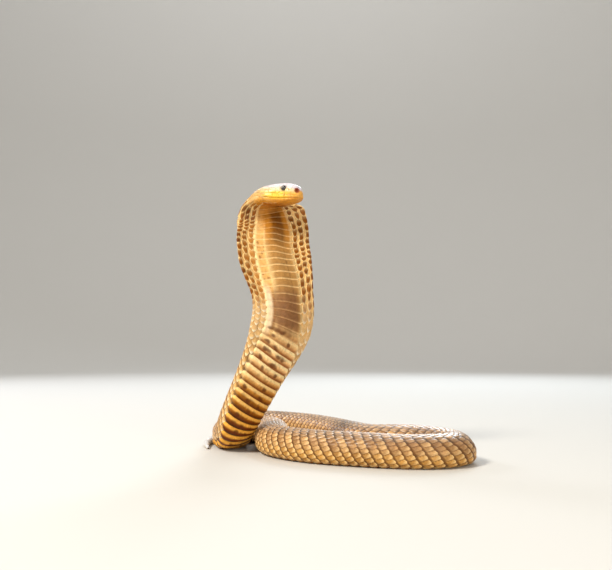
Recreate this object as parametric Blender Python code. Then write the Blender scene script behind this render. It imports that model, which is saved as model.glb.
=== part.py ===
"""A cobra reared up with its hood spread, life size, lying and standing on flat ground.

Metres, +Z up, ground at Z = 0. The snake rears on the left, facing -Y, and the rest of
its body lies in one loose loop to the right and behind. The trunk is one tube along a
smooth route, parted by thin cuts; the head and the eyes are shaped by themselves.
"""

import math

import bmesh
import bpy
import numpy as np
from mathutils import Matrix, Vector

MM = 0.001
GAP = 0.3 * MM

# The loop's middle on the ground, in the route's own plan, so that the origin lies under it.
PLAN_CENTRE = (14.4, 75.1)

# Route of the body's middle line in mm, from the back of the head to the tip of the tail.
NECK_ROUTE = (
    (-33.4, -33.4, 218.0), (-35.8, -30.4, 214.2), (-36.0, -27.4, 208.0), (-34.4, -26.0, 200.5),
    (-32.2, -27.6, 191.5), (-30.2, -31.6, 180.5),
)
REARED_ROUTE = (
    (-27.5, -38.0, 163.0), (-23.0, -43.5, 145.0), (-20.0, -46.5, 127.0), (-20.5, -47.0, 110.0),
    (-26.0, -44.5, 92.0), (-36.5, -38.5, 70.5), (-45.2, -32.5, 53.5), (-53.6, -26.0, 37.0),
)
HAIRPIN_ROUTE = (
    (-61.8, -12.5, 20.5), (-66.5, 7.0, 13.4), (-69.5, 26.0, 12.2), (-64.5, 42.0, 12.2),
    (-51.5, 49.5, 12.2), (-38.5, 42.5, 12.2), (-32.0, 27.0, 12.2), (-30.0, 8.0, 12.2),
)
NEAR_ROUTE = (
    (-28.6, -14.0, 12.2), (-23.4, -37.0, 12.2), (-9.5, -58.0, 12.2), (11.5, -75.0, 12.2),
    (37.5, -87.0, 12.2), (63.5, -95.5, 11.9), (89.0, -98.0, 10.8),
)
FAR_ROUTE = (
    (108.5, -90.5, 9.9), (116.5, -74.0, 9.6), (109.5, -58.5, 10.1), (94.0, -49.0, 11.1),
    (75.0, -41.0, 11.7), (57.0, -27.0, 11.7), (44.0, -5.0, 11.8), (33.0, 21.0, 11.8),
    (20.0, 50.0, 11.7), (3.0, 80.0, 11.5), (-18.0, 108.0, 11.0),
)
TAIL_ROUTE = (
    (-40.0, 136.0, 10.2), (-56.0, 166.0, 9.2), (-65.0, 200.0, 8.3), (-68.0, 233.0, 7.6),
    (-77.0, 254.0, 7.0), (-90.0, 248.0, 6.6), (-93.0, 222.0, 6.2), (-91.5, 185.0, 5.7),
    (-84.5, 145.0, 5.2), (-75.0, 108.0, 4.8), (-71.0, 82.0, 4.3), (-79.0, 60.0, 3.8),
    (-87.5, 38.0, 3.3), (-90.0, 14.0, 2.6), (-85.5, -5.0, 0.9),
)
BODY_ROUTE = NECK_ROUTE + REARED_ROUTE + HAIRPIN_ROUTE + NEAR_ROUTE + FAR_ROUTE + TAIL_ROUTE

# Where the trunk is parted, as distances along the route in mm, tailward of each name.
TRUNK_PARTS = (
    ("hood", 0.0), ("fore_body", 112.0), ("rearing_bend", 208.0), ("hind_bend", 262.0),
    ("left_bend", 340.0), ("near_run", 394.0), ("right_bend", 524.0), ("far_run", 622.0),
    ("rear_body", 800.0), ("tail_base", 925.0), ("tail", 1030.0),
)

# Half widths and half depths of the trunk in mm, at distances along the route.
HALF_WIDTH = (
    (0, 12.8), (3, 18.8), (6, 22.4), (12, 28.2), (20, 31.4), (42, 32.4), (60, 32.2), (78, 29.4), (94, 26.8),
    (118, 27.2), (138, 24.8), (168, 20.6), (203, 17.8), (238, 16.6), (280, 15.8), (340, 15.5),
    (560, 15.6), (700, 15.0), (820, 13.6), (900, 12.0), (960, 10.2), (1010, 9.0), (1060, 7.2),
    (1110, 5.8), (1160, 4.5), (1196, 3.5), (1216, 2.7), (1232, 1.8), (1244, 0.7),
)
DORSAL_DEPTH = (
    (0, 9.8), (20, 9.6), (50, 9.4), (100, 10.4), (160, 12.6), (245, 13.4), (300, 12.4), (500, 12.3),
    (556, 14.5), (606, 14.4), (660, 11.9), (800, 11.7), (900, 10.2), (960, 8.9), (1010, 7.9), (1060, 6.8),
    (1110, 5.6), (1160, 4.4), (1196, 3.4), (1216, 2.6), (1232, 1.7), (1244, 0.7),
)
VENTRAL_DEPTH = (
    (0, 9.0), (5, 6.6), (12, 6.6), (24, 8.0), (50, 8.2), (100, 9.4), (160, 12.0), (245, 13.6),
    (300, 12.9), (500, 12.9), (556, 10.5), (606, 10.4), (660, 12.3), (800, 12.2), (900, 10.8),
    (960, 9.4), (1010, 8.3), (1060, 7.1),
    (1110, 5.8), (1160, 4.5), (1196, 3.4), (1216, 2.6), (1232, 1.6), (1244, 0.5),
)
# How far the section is a spread hood, 0 to 1, and its middle's shift towards the snake's left.
HOOD_SHARE = ((0, 0.0), (9, 0.5), (22, 1.0), (78, 1.0), (108, 0.72), (152, 0.25), (192, 0.0))
HOOD_SHIFT = ((0, 0.0), (3, 2.2), (7, 3.2), (15, 3.4), (26, 2.6), (45, 0.0))
# The way the belly faces: its turn from -Y towards +X, and its dip below level, in degrees.
BELLY_TURN = ((0, 40), (20, 18), (84, 18), (120, 24), (158, 33), (214, 33), (246, 16), (284, 0))
BELLY_DIP = ((0, 84), (6, 56), (14, 22), (26, 0), (208, 0), (233, 30), (255, 66), (278, 90))

# The spread hood: width of the thick middle, half thickness of the wings and their bow forward.
HOOD_CORE = 10.0
HOOD_EDGE = 3.4
HOOD_BOW = 0.20
# How the section rounds off, as powers of a cosine: 1 is an ellipse and less is squarer.
NECK_ROUND, BELLY_ROUND, WING_ROUND = 0.92, 0.5, 0.7
BACK_ROUND = ((280, NECK_ROUND), (420, 1.05), (560, 1.25), (700, 1.05), (1000, NECK_ROUND))

# Belly scutes in mm: half width and pitch, and how far each free edge stands up.
SCUTE_HALF = (
    (0, 9.0), (20, 14.0), (40, 17.0), (78, 16.6), (100, 15.6), (116, 16.4), (138, 19.0), (170, 18.0),
    (220, 16.0), (300, 12.5),
)
SCUTE_PITCH = ((0, 5.4), (60, 6.1), (120, 7.4), (160, 8.2), (300, 7.4))
SCUTE_RISE = 0.75
SCUTE_EDGE = 0.92
SCUTES_END = 262.0
SCUTES_FADE = 20.0
SHORTEST_SCUTE = 1.5

# Colour and roughness of each part; the body's own stands for every length not named.
FINISHES = {
    "body": ((0.24, 0.16, 0.07), 0.42),
    "head": ((0.62, 0.46, 0.22), 0.38),
    "hood": ((0.40, 0.25, 0.09), 0.42),
    "fore_body": ((0.48, 0.29, 0.07), 0.42),
    "eye_left": ((0.02, 0.015, 0.01), 0.08),
    "eye_right": ((0.02, 0.015, 0.01), 0.08),
}
SHARP_FROM = math.radians(35)

RING_STEP = 11.0
TAIL_TIP = 5.0
SIDE_POINTS = 15
BELLY_POINTS = 8
WIDEST_CORNER = 0.86
BELLY_INSET = 0.10

# The head in mm, in its own frame: x runs forward from its joint with the hood, y to its
# left, z up. Each row is a distance behind the snout's tip, then half width, top, mouth and chin.
HEAD_JOINT = (-33.4, -33.4, 218.0)
HEAD_TURN = -36.0
HEAD_LENGTH = 36.8
HEAD_ROWS = (
    (0.0, 1.2, -0.4, -4.6, -4.9), (0.7, 3.1, 1.8, -4.6, -5.2), (2.0, 4.6, 4.2, -4.6, -6.2),
    (4.2, 6.0, 6.3, -4.6, -7.2), (7.5, 7.2, 7.9, -4.5, -7.9), (11.5, 8.1, 8.9, -4.4, -8.2),
    (15.5, 9.0, 9.4, -4.1, -8.3), (20.0, 10.4, 9.8, -3.7, -8.3), (25.0, 12.0, 9.9, -2.9, -8.3),
    (29.5, 13.0, 9.7, -1.9, -8.0), (33.0, 13.2, 8.6, -0.9, -7.5), (36.8, 12.8, 7.0, 0.0, -6.5),
)
MOUTH_DEPTH, MOUTH_GAP = 0.8, 0.28
MOUTH_FRONT, MOUTH_BACK, MOUTH_FADE = 1.5, 31.5, 3.0
NECK_START = 22.0
LIP_SWELL, LIP_HEIGHT = 0.35, 2.2
JAW_INSET = 0.35
# Powers of a sine and cosine that round the crown and the jaw, across and up.
CROWN_ROUND = (0.62, 0.80)
JAW_ROUND = (0.80, 0.75)
# The brows: their rise, middle and reach along the head in mm, and place and spread round the crown.
BROW_RISE, BROW_BACK, BROW_REACH = 1.0, 13.4, 3.4
BROW_ANGLE, BROW_SPREAD = 0.60, 0.26
EYE_BACK, EYE_SIDE, EYE_HEIGHT, EYE_RADIUS = 13.6, 6.7, 4.2, 2.5
NOSTRIL_BACK, NOSTRIL_SIDE, NOSTRIL_HEIGHT = 1.8, 4.0, 1.5
NOSTRIL_SIZE = (1.5, 1.3, 1.5)
HEAD_RINGS, SNOUT_CROWDING = 22, 1.35
SNOUT_TIP = 0.25
CROWN_POINTS = 15
JAW_POINTS = 9
EYE_BANDS, NOSTRIL_BANDS = 9, 6


def spline(xs, ys, at):
    """Natural cubic through the points (xs, ys), read at the places given."""
    xs, ys = np.asarray(xs, float), np.asarray(ys, float)
    step = np.diff(xs)
    count = len(xs)
    rows, known = np.eye(count), np.zeros_like(ys)
    for i in range(1, count - 1):
        rows[i, i - 1:i + 2] = step[i - 1], 2 * (step[i - 1] + step[i]), step[i]
        known[i] = 6 * ((ys[i + 1] - ys[i]) / step[i] - (ys[i] - ys[i - 1]) / step[i - 1])
    bend = np.linalg.solve(rows, known)
    k = np.clip(np.searchsorted(xs, at, side="right") - 1, 0, count - 2)
    h, a, b = step[k], xs[k + 1] - at, at - xs[k]
    if ys.ndim == 2:
        h, a, b = h[:, None], a[:, None], b[:, None]
    curve = (bend[k] * a**3 + bend[k + 1] * b**3) / (6 * h)
    return curve + (ys[k] / h - bend[k] * h / 6) * a + (ys[k + 1] / h - bend[k + 1] * h / 6) * b


def eased(table, at):
    """Value of a (place, value) table between its rows, level at each turning point."""
    xs, ys = (np.array(column, float) for column in zip(*table))
    slopes = np.diff(ys) / np.diff(xs)
    product, total = slopes[1:] * slopes[:-1], slopes[1:] + slopes[:-1]
    inner = np.divide(2 * product, total, out=np.zeros_like(product), where=product > 0)
    tangent = np.concatenate([[slopes[0]], inner, [slopes[-1]]])
    at = np.clip(np.asarray(at, float), xs[0], xs[-1])
    k = np.clip(np.searchsorted(xs, at, side="right") - 1, 0, len(xs) - 2)
    h = xs[k + 1] - xs[k]
    t = (at - xs[k]) / h
    return ((2 * t**3 - 3 * t**2 + 1) * ys[k] + (t**3 - 2 * t**2 + t) * h * tangent[k]
            + (3 * t**2 - 2 * t**3) * ys[k + 1] + (t**3 - t**2) * h * tangent[k + 1])


class Trunk:
    """The route of the middle line, with the body's section and facing at each distance."""

    def __init__(self):
        points = np.array(BODY_ROUTE)
        points[:, 0] -= PLAN_CENTRE[0]
        points[:, 1] -= PLAN_CENTRE[1]
        chord = np.concatenate([[0], np.cumsum(np.linalg.norm(np.diff(points, axis=0), axis=1))])
        self.line = spline(chord, points, np.linspace(0, chord[-1], 6001))
        self.run = np.concatenate([[0], np.cumsum(np.linalg.norm(np.diff(self.line, axis=0), axis=1))])
        self.way = np.gradient(self.line, self.run, axis=0)
        self.length = self.run[-1]

    def at(self, s):
        """Centre, tailward direction, left side and belly direction at distance s."""
        centre = np.array([np.interp(s, self.run, self.line[:, i]) for i in range(3)])
        way = np.array([np.interp(s, self.run, self.way[:, i]) for i in range(3)])
        way /= np.linalg.norm(way)
        turn, dip = np.radians(eased(BELLY_TURN, s)), np.radians(eased(BELLY_DIP, s))
        belly = np.array([math.sin(turn) * math.cos(dip), -math.cos(turn) * math.cos(dip), -math.sin(dip)])
        belly -= way * belly.dot(way)
        belly /= np.linalg.norm(belly)
        return centre, way, np.cross(belly, way), belly

    def section(self, s, angle):
        """Sideways and dorsal offsets at an angle from the back's midline."""
        wide = eased(HALF_WIDTH, s)
        back, front = eased(DORSAL_DEPTH, s), eased(VENTRAL_DEPTH, s)
        hood = eased(HOOD_SHARE, s)
        across, up = np.sin(angle), np.cos(angle)
        round_back = eased(BACK_ROUND, s)
        body = np.where(up > 0, back * np.abs(up)**round_back, -front * np.abs(up)**BELLY_ROUND)
        swell = np.exp(-(across * wide / HOOD_CORE)**2)
        leaf = HOOD_EDGE * np.abs(up)**WING_ROUND
        spread = np.where(up > 0, leaf + (back - HOOD_EDGE) * swell, -leaf - (front - HOOD_EDGE) * swell)
        spread = spread - HOOD_BOW * wide * across**2 * hood
        return across * wide + eased(HOOD_SHIFT, s), body * (1 - hood) + spread * hood


def ring_angles(s):
    """Angles of a ring's points: across the back and sides, then the belly between its corners."""
    corner = math.pi - math.asin(min(WIDEST_CORNER, eased(SCUTE_HALF, s) / eased(HALF_WIDTH, s)))
    side = np.linspace(-corner, corner, SIDE_POINTS)
    inset = BELLY_INSET * (math.pi - corner)
    belly = np.linspace(corner + inset, 2 * math.pi - corner - inset, BELLY_POINTS)
    return np.concatenate([side, belly])


def ring(trunk, s, rise):
    """Points of one ring, its belly raised by rise and nothing of it under the ground."""
    centre, way, left, belly = trunk.at(s)
    angles = ring_angles(s)
    across, up = trunk.section(s, angles)
    lift = np.zeros(len(angles))
    lift[SIDE_POINTS:] = rise
    points = centre + np.outer(across, left) - np.outer(up - lift, belly)
    points[:, 2] = np.maximum(points[:, 2], 0.0)
    return points * MM


def ring_places(start, end):
    """Distances and belly rises of the rings from start to end: a step at each scute's free edge."""
    places = [(start, 0.0)]
    s = start
    while s < min(end, SCUTES_END):
        pitch = eased(SCUTE_PITCH, s)
        if s + pitch > min(end, SCUTES_END) - SHORTEST_SCUTE:
            break
        fade = min(1.0, (SCUTES_END - s) / SCUTES_FADE)
        places += [(s + pitch * SCUTE_EDGE, SCUTE_RISE * fade), (s + pitch, 0.0)]
        s += pitch
    steps = max(1, round((end - s) / RING_STEP))
    places += [(s + (end - s) * (i + 1) / steps, 0.0) for i in range(steps)]
    return places


def finish_of(name):
    """The plain material of a part, made once for each part's own name."""
    colour, roughness = FINISHES.get(name, FINISHES["body"])
    material = bpy.data.materials.new(name)
    material.use_nodes = True
    shader = material.node_tree.nodes["Principled BSDF"]
    shader.inputs["Base Color"].default_value = (*colour, 1.0)
    shader.inputs["Roughness"].default_value = roughness
    shader.inputs["Metallic"].default_value = 0.0
    return material


def placed(name, mesh):
    """An object of the mesh in the scene, in its own finish."""
    made = bpy.data.objects.new(name, mesh)
    made.data.materials.append(finish_of(name))
    bpy.context.scene.collection.objects.link(made)
    return made


def tube(name, rings, tip=None):
    """A closed mesh through rings of equal counts, with flat ends, or a point at its tail end."""
    count = len(rings[0])
    points = [tuple(p) for row in rings for p in row]
    faces = []
    for i in range(len(rings) - 1):
        a, b = i * count, (i + 1) * count
        faces += [(a + j, a + (j + 1) % count, b + (j + 1) % count, b + j) for j in range(count)]
    first = len(points)
    points.append(tuple(np.mean(rings[0], axis=0)))
    faces += [(first, (j + 1) % count, j) for j in range(count)]
    last, base = len(points), (len(rings) - 1) * count
    points.append(tuple(np.mean(rings[-1], axis=0)) if tip is None else tuple(tip))
    faces += [(last, base + j, base + (j + 1) % count) for j in range(count)]
    mesh = bpy.data.meshes.new(name)
    mesh.from_pydata(points, [], faces)
    bm = bmesh.new()
    bm.from_mesh(mesh)
    bmesh.ops.recalc_face_normals(bm, faces=bm.faces)
    bmesh.ops.triangulate(bm, faces=[f for f in bm.faces if len(f.verts) > 3])
    bm.to_mesh(mesh)
    bm.free()
    mesh.shade_smooth()
    mesh.set_sharp_from_angle(angle=SHARP_FROM)
    return placed(name, mesh)


def head_matrix():
    """Places the head's own frame, in mm, in the world, in metres."""
    joint = Vector((HEAD_JOINT[0] - PLAN_CENTRE[0], HEAD_JOINT[1] - PLAN_CENTRE[1], HEAD_JOINT[2]))
    turn = Matrix.Rotation(math.radians(HEAD_TURN), 4, "Z")
    return Matrix.Translation(joint * MM) @ turn @ Matrix.Scale(MM, 4)


def head_ring(back, joint_way):
    """One ring of the head, a distance behind the snout's tip, in the head's own frame.

    Towards the joint the ring turns into the hood's first section, square to joint_way.
    """
    columns = list(zip(*HEAD_ROWS))
    wide, top, mouth, chin = (float(eased(list(zip(columns[0], column)), back)) for column in columns[1:])
    neck = float(eased(((NECK_START, 0.0), (HEAD_LENGTH, 1.0)), back))
    crown_side, crown_up = (a + (b - a) * neck for a, b in zip(CROWN_ROUND, (1.0, NECK_ROUND)))
    jaw_side, jaw_down = (a + (b - a) * neck for a, b in zip(JAW_ROUND, (1.0, BELLY_ROUND)))
    open_mouth = min(1.0, max(0.0, (MOUTH_BACK - back) / MOUTH_FADE)) * min(1.0, back / MOUTH_FRONT)
    points = []
    for angle in np.linspace(0.0, math.pi, CROWN_POINTS):
        side = math.copysign(abs(math.cos(angle))**crown_side, math.cos(angle))
        up = math.sin(angle)**crown_up
        lip = LIP_SWELL * open_mouth * math.exp(-(up * (top - mouth) / LIP_HEIGHT)**2)
        off_brow = (abs(angle - math.pi / 2) - BROW_ANGLE) / BROW_SPREAD
        brow = BROW_RISE * math.exp(-((back - BROW_BACK) / BROW_REACH)**2 - off_brow**2)
        points.append((side * (wide + lip), mouth + MOUTH_GAP + (top - mouth - MOUTH_GAP) * up + brow))
    points.append((min(MOUTH_DEPTH, wide / 5) * open_mouth - wide, mouth))
    for angle in np.linspace(0.0, math.pi, JAW_POINTS):
        side = -math.copysign(abs(math.cos(angle))**jaw_side, math.cos(angle))
        down = math.sin(angle)**jaw_down
        height = mouth - MOUTH_GAP + (chin - mouth + MOUTH_GAP) * down
        points.append((side * (wide - JAW_INSET * open_mouth), height))
    points.append((-points[CROWN_POINTS][0], mouth))
    slant = [-(joint_way[1] * y + joint_way[2] * z) / joint_way[0] for y, z in points]
    return np.array([(HEAD_LENGTH - back + neck * x, y, z) for x, (y, z) in zip(slant, points)])


def ball(name, place, size, rings):
    """A closed round mesh at a place in the head's frame, stretched by size."""
    bm = bmesh.new()
    bmesh.ops.create_uvsphere(bm, u_segments=2 * rings, v_segments=rings, radius=1.0)
    stretch = Matrix.Translation(Vector(place)) @ Matrix.Diagonal(Vector((*size, 1.0)))
    bmesh.ops.transform(bm, matrix=head_matrix() @ stretch, verts=bm.verts)
    mesh = bpy.data.meshes.new(name)
    bm.to_mesh(mesh)
    bm.free()
    mesh.shade_smooth()
    return placed(name, mesh)


def cut(body, cutter):
    """Takes the cutter's shape out of the body, and leaves the cutter as an unseen guide."""
    cutter.hide_render = True
    cutter.display_type = "WIRE"
    boolean = body.modifiers.new(cutter.name, "BOOLEAN")
    boolean.operation = "DIFFERENCE"
    boolean.object = cutter


def build_head(trunk):
    """The head with its mouth line, nostrils and eye sockets, and the two eyes."""
    place = np.array(head_matrix())
    joint_way = place[:3, :3].T @ trunk.at(0.0)[1] / MM
    first, last = HEAD_ROWS[0][0] + SNOUT_TIP, HEAD_LENGTH - GAP / MM / 2
    shares = np.linspace(0.0, 1.0, HEAD_RINGS)**SNOUT_CROWDING
    rings = [head_ring(first + (last - first) * share, joint_way) for share in shares]
    rings = [ring_points @ place[:3, :3].T + place[:3, 3] for ring_points in rings]
    head = tube("head", rings[::-1])
    for side, word in ((1, "left"), (-1, "right")):
        eye_place = (HEAD_LENGTH - EYE_BACK, side * EYE_SIDE, EYE_HEIGHT)
        ball(f"eye_{word}", eye_place, (EYE_RADIUS,) * 3, EYE_BANDS)
        cut(head, ball(f"socket_{word}", eye_place, (EYE_RADIUS + GAP / MM,) * 3, EYE_BANDS))
        nostril_place = (HEAD_LENGTH - NOSTRIL_BACK, side * NOSTRIL_SIDE, NOSTRIL_HEIGHT)
        cut(head, ball(f"nostril_{word}", nostril_place, NOSTRIL_SIZE, NOSTRIL_BANDS))


def build_trunk(trunk):
    """The lengths of the body and the tail, face to face."""
    ends = [start for _, start in TRUNK_PARTS[1:]] + [trunk.length]
    half_gap = GAP / MM / 2
    for (name, start), end in zip(TRUNK_PARTS, ends):
        to_tip = end == trunk.length
        places = ring_places(start + half_gap, end - (TAIL_TIP if to_tip else half_gap))
        rings = [ring(trunk, s, rise) for s, rise in places]
        tube(name, rings, trunk.at(end)[0] * MM if to_tip else None)


def main():
    """Clears the scene and builds the snake."""
    for old in list(bpy.data.objects):
        bpy.data.objects.remove(old)
    trunk = Trunk()
    build_head(trunk)
    build_trunk(trunk)


main()
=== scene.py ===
"""Looks of the reared cobra: one skin, head shields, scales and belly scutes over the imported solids."""

import math

import bpy
import numpy as np
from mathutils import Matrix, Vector


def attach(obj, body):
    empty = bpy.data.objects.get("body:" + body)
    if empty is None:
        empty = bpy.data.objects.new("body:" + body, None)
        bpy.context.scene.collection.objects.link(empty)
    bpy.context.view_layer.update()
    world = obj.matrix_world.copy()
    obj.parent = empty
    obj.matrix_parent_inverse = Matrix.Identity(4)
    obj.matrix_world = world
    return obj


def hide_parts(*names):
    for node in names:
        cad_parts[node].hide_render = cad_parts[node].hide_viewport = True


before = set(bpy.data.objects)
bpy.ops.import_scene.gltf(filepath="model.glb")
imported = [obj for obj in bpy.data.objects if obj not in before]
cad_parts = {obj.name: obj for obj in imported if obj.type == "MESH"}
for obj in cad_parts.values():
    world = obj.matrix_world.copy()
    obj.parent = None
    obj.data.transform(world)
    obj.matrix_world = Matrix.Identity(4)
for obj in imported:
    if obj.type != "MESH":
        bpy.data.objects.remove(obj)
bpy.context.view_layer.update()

MM = 0.001

# The photograph's camera: metres, degrees, and pixels of the 612 x 570 frame.
CAMERA_PLACE = (-0.0144, -0.7051, 0.087)
CAMERA_PITCH = 5.3
FOCAL_PIXELS = 700.0
FRAME_WIDTH = 612
SENSOR_WIDTH = 36.0

# The snake's middle line and sections, in mm, as the solids have them.
PLAN_CENTRE = (14.4, 75.1)
NECK_ROUTE = (
    (-33.4, -33.4, 218.0), (-35.8, -30.4, 214.2), (-36.0, -27.4, 208.0), (-34.4, -26.0, 200.5),
    (-32.2, -27.6, 191.5), (-30.2, -31.6, 180.5),
)
REARED_ROUTE = (
    (-27.5, -38.0, 163.0), (-23.0, -43.5, 145.0), (-20.0, -46.5, 127.0), (-20.5, -47.0, 110.0),
    (-26.0, -44.5, 92.0), (-36.5, -38.5, 70.5), (-45.2, -32.5, 53.5), (-53.6, -26.0, 37.0),
)
HAIRPIN_ROUTE = (
    (-61.8, -12.5, 20.5), (-66.5, 7.0, 13.4), (-69.5, 26.0, 12.2), (-64.5, 42.0, 12.2),
    (-51.5, 49.5, 12.2), (-38.5, 42.5, 12.2), (-32.0, 27.0, 12.2), (-30.0, 8.0, 12.2),
)
NEAR_ROUTE = (
    (-28.6, -14.0, 12.2), (-23.4, -37.0, 12.2), (-9.5, -58.0, 12.2), (11.5, -75.0, 12.2),
    (37.5, -87.0, 12.2), (63.5, -95.5, 11.9), (89.0, -98.0, 10.8),
)
FAR_ROUTE = (
    (108.5, -90.5, 9.9), (116.5, -74.0, 9.6), (109.5, -58.5, 10.1), (94.0, -49.0, 11.1),
    (75.0, -41.0, 11.7), (57.0, -27.0, 11.7), (44.0, -5.0, 11.8), (33.0, 21.0, 11.8),
    (20.0, 50.0, 11.7), (3.0, 80.0, 11.5), (-18.0, 108.0, 11.0),
)
TAIL_ROUTE = (
    (-40.0, 136.0, 10.2), (-56.0, 166.0, 9.2), (-65.0, 200.0, 8.3), (-68.0, 233.0, 7.6),
    (-77.0, 254.0, 7.0), (-90.0, 248.0, 6.6), (-93.0, 222.0, 6.2), (-91.5, 185.0, 5.7),
    (-84.5, 145.0, 5.2), (-75.0, 108.0, 4.8), (-71.0, 82.0, 4.3), (-79.0, 60.0, 3.8),
    (-87.5, 38.0, 3.3), (-90.0, 14.0, 2.6), (-85.5, -5.0, 0.9),
)
BODY_ROUTE = NECK_ROUTE + REARED_ROUTE + HAIRPIN_ROUTE + NEAR_ROUTE + FAR_ROUTE + TAIL_ROUTE

# Half width of the sections, and their depth on the back's and the belly's side, in mm.
HALF_WIDTH = (
    (0, 12.8), (3, 18.8), (6, 22.4), (12, 28.2), (20, 31.4), (42, 32.4), (60, 32.2), (78, 29.4), (94, 26.8),
    (118, 27.2), (138, 24.8), (168, 20.6), (203, 17.8), (238, 16.6), (280, 15.8), (340, 15.5),
    (560, 15.6), (700, 15.0), (820, 13.6), (900, 12.0), (960, 10.2), (1010, 9.0), (1060, 7.2),
    (1110, 5.8), (1160, 4.5), (1196, 3.5), (1216, 2.7), (1232, 1.8), (1244, 0.7),
)
DORSAL_DEPTH = (
    (0, 9.8), (20, 9.6), (50, 9.4), (100, 10.4), (160, 12.6), (245, 13.4), (300, 12.4), (500, 12.3),
    (556, 14.5), (606, 14.4), (660, 11.9), (800, 11.7), (900, 10.2), (960, 8.9), (1010, 7.9), (1060, 6.8),
    (1110, 5.6), (1160, 4.4), (1196, 3.4), (1216, 2.6), (1232, 1.7), (1244, 0.7),
)
VENTRAL_DEPTH = (
    (0, 9.0), (5, 6.6), (12, 6.6), (24, 8.0), (50, 8.2), (100, 9.4), (160, 12.0), (245, 13.6),
    (300, 12.9), (500, 12.9), (556, 10.5), (606, 10.4), (660, 12.3), (800, 12.2), (900, 10.8),
    (960, 9.4), (1010, 8.3), (1060, 7.1), (1110, 5.8), (1160, 4.5), (1196, 3.4), (1216, 2.6),
    (1232, 1.6), (1244, 0.5),
)
# How far a section is the flat hood's, and how far the hood lies to the left, in mm.
HOOD_SHARE = ((0, 0.0), (9, 0.5), (22, 1.0), (78, 1.0), (108, 0.72), (152, 0.25), (192, 0.0))
HOOD_SHIFT = ((0, 0.0), (3, 2.2), (7, 3.2), (15, 3.4), (26, 2.6), (45, 0.0))
# The way that the belly faces, in degrees: its turn from the front, and its dip below the level.
BELLY_TURN = ((0, 40), (20, 18), (84, 18), (120, 24), (158, 33), (214, 33), (246, 16), (284, 0))
BELLY_DIP = ((0, 84), (6, 56), (14, 22), (26, 0), (208, 0), (233, 30), (255, 66), (278, 90))
# The hood's core and thin edge, in mm, and the bow of its sides towards the belly.
HOOD_CORE = 10.0
HOOD_EDGE = 3.4
HOOD_BOW = 0.20
# Powers of the sections' curves: 1 is an ellipse, less is fuller, and more is like a roof.
NECK_ROUND, BELLY_ROUND, WING_ROUND = 0.92, 0.5, 0.7
BACK_ROUND = ((280, NECK_ROUND), (420, 1.05), (560, 1.25), (700, 1.05), (1000, NECK_ROUND))
# Half width of the belly scutes, in mm, and the most of a section's half width that it takes.
SCUTE_HALF = (
    (0, 9.0), (20, 14.0), (40, 17.0), (78, 16.6), (100, 15.6), (116, 16.4), (138, 19.0), (170, 18.0),
    (220, 16.0), (300, 12.5),
)
WIDEST_CORNER = 0.86

# How far the scutes pass their edge on the snake's right, as a share of the back's half length.
RIGHT_REACH = ((140, 0.0), (175, 0.10), (215, 0.16), (250, 0.17), (280, 0.0))

# The head, in mm: distance behind the snout's tip, then half width, top, mouth and chin.
HEAD_JOINT = (-33.4, -33.4, 218.0)
HEAD_TURN = -36.0
HEAD_LENGTH = 36.8
HEAD_ROWS = (
    (0.0, 1.2, -0.4, -4.6, -4.9), (0.7, 3.1, 1.8, -4.6, -5.2), (2.0, 4.6, 4.2, -4.6, -6.2),
    (4.2, 6.0, 6.3, -4.6, -7.2), (7.5, 7.2, 7.9, -4.5, -7.9), (11.5, 8.1, 8.9, -4.4, -8.2),
    (15.5, 9.0, 9.4, -4.1, -8.3), (20.0, 10.4, 9.8, -3.7, -8.3), (25.0, 12.0, 9.9, -2.9, -8.3),
    (29.5, 13.0, 9.7, -1.9, -8.0), (33.0, 13.2, 8.6, -0.9, -7.5), (36.8, 12.8, 7.0, 0.0, -6.5),
)
# The mouth line's depth and width, its front and back ends, and the lip that swells over it.
MOUTH_DEPTH, MOUTH_WIDTH = 0.7, 0.32
MOUTH_FRONT, MOUTH_BACK, MOUTH_FADE = 1.0, 31.5, 3.0
LIP_SWELL, LIP_HEIGHT = 0.35, 2.2
JAW_INSET = 0.45
LIP_BLEND = 0.035
# Powers of the head's curves across and up, which pass into the neck's behind NECK_START.
NECK_START = 22.0
CROWN_ROUND = (0.62, 0.80)
JAW_ROUND = (0.80, 0.75)
# The brows: their rise, middle and reach along the head in mm, and place and spread round the crown.
BROW_RISE, BROW_BACK, BROW_REACH = 1.0, 13.4, 3.4
BROW_ANGLE, BROW_SPREAD = 0.60, 0.26

# Eyes, nostrils and the mark before the eye: distance behind the snout's tip, beside and above it.
EYE_PLACE, NOSTRIL_PLACE, LOREAL_PLACE = (13.6, 6.7, 4.2), (1.8, 4.0, 1.5), (8.2, 7.2, 2.4)
EYE_RADIUS, EYE_SUNK, EYE_GRID = 2.5, 0.3, (31, 48)
EYE_FACING, NOSTRIL_FACING = (0.25, 1.0, 0.28), (0.75, 1.0, 0.15)
# Hollows of the head: place, facing, how far behind it the surface still moves, a rim's rise,
# radius and width, and the pit's depth, radius and steepness.
HOLLOWS = (
    (EYE_PLACE, EYE_FACING, -1.0, (0.42, 2.85, 0.5), (1.5, 2.35, 6)),
    (NOSTRIL_PLACE, NOSTRIL_FACING, -2.0, (0.2, 1.8, 0.4), (1.6, 1.35, 4)),
)
SNOUT_TIP = 0.25

# The surface's grid: spacing of its rows on the head and on the trunk, in mm, and its columns.
HEAD_STEP, TRUNK_STEP = 0.25, 0.5
COLUMNS = 361
GIRTH_STEPS = 96
LINE_POINTS = 6001
NECK_BLEND, NECK_PASSES = 9.0, 60

# The skin's depth under the solids' surface, which is the coat's, in mm, and the spacing of its
# rows on the head, the neck, the reared column and the lying body.
SKIN_DEPTH = 0.55
SKIN_STEPS = (0.36, 0.6, 2.0, 4.0)
SKIN_NECK_END, SKIN_COLUMN_END = 18.0, 200.0
# Where the skin's rows and the tail's scutes stop before the body's end, in mm.
TAIL_TIP = 1.0

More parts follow.
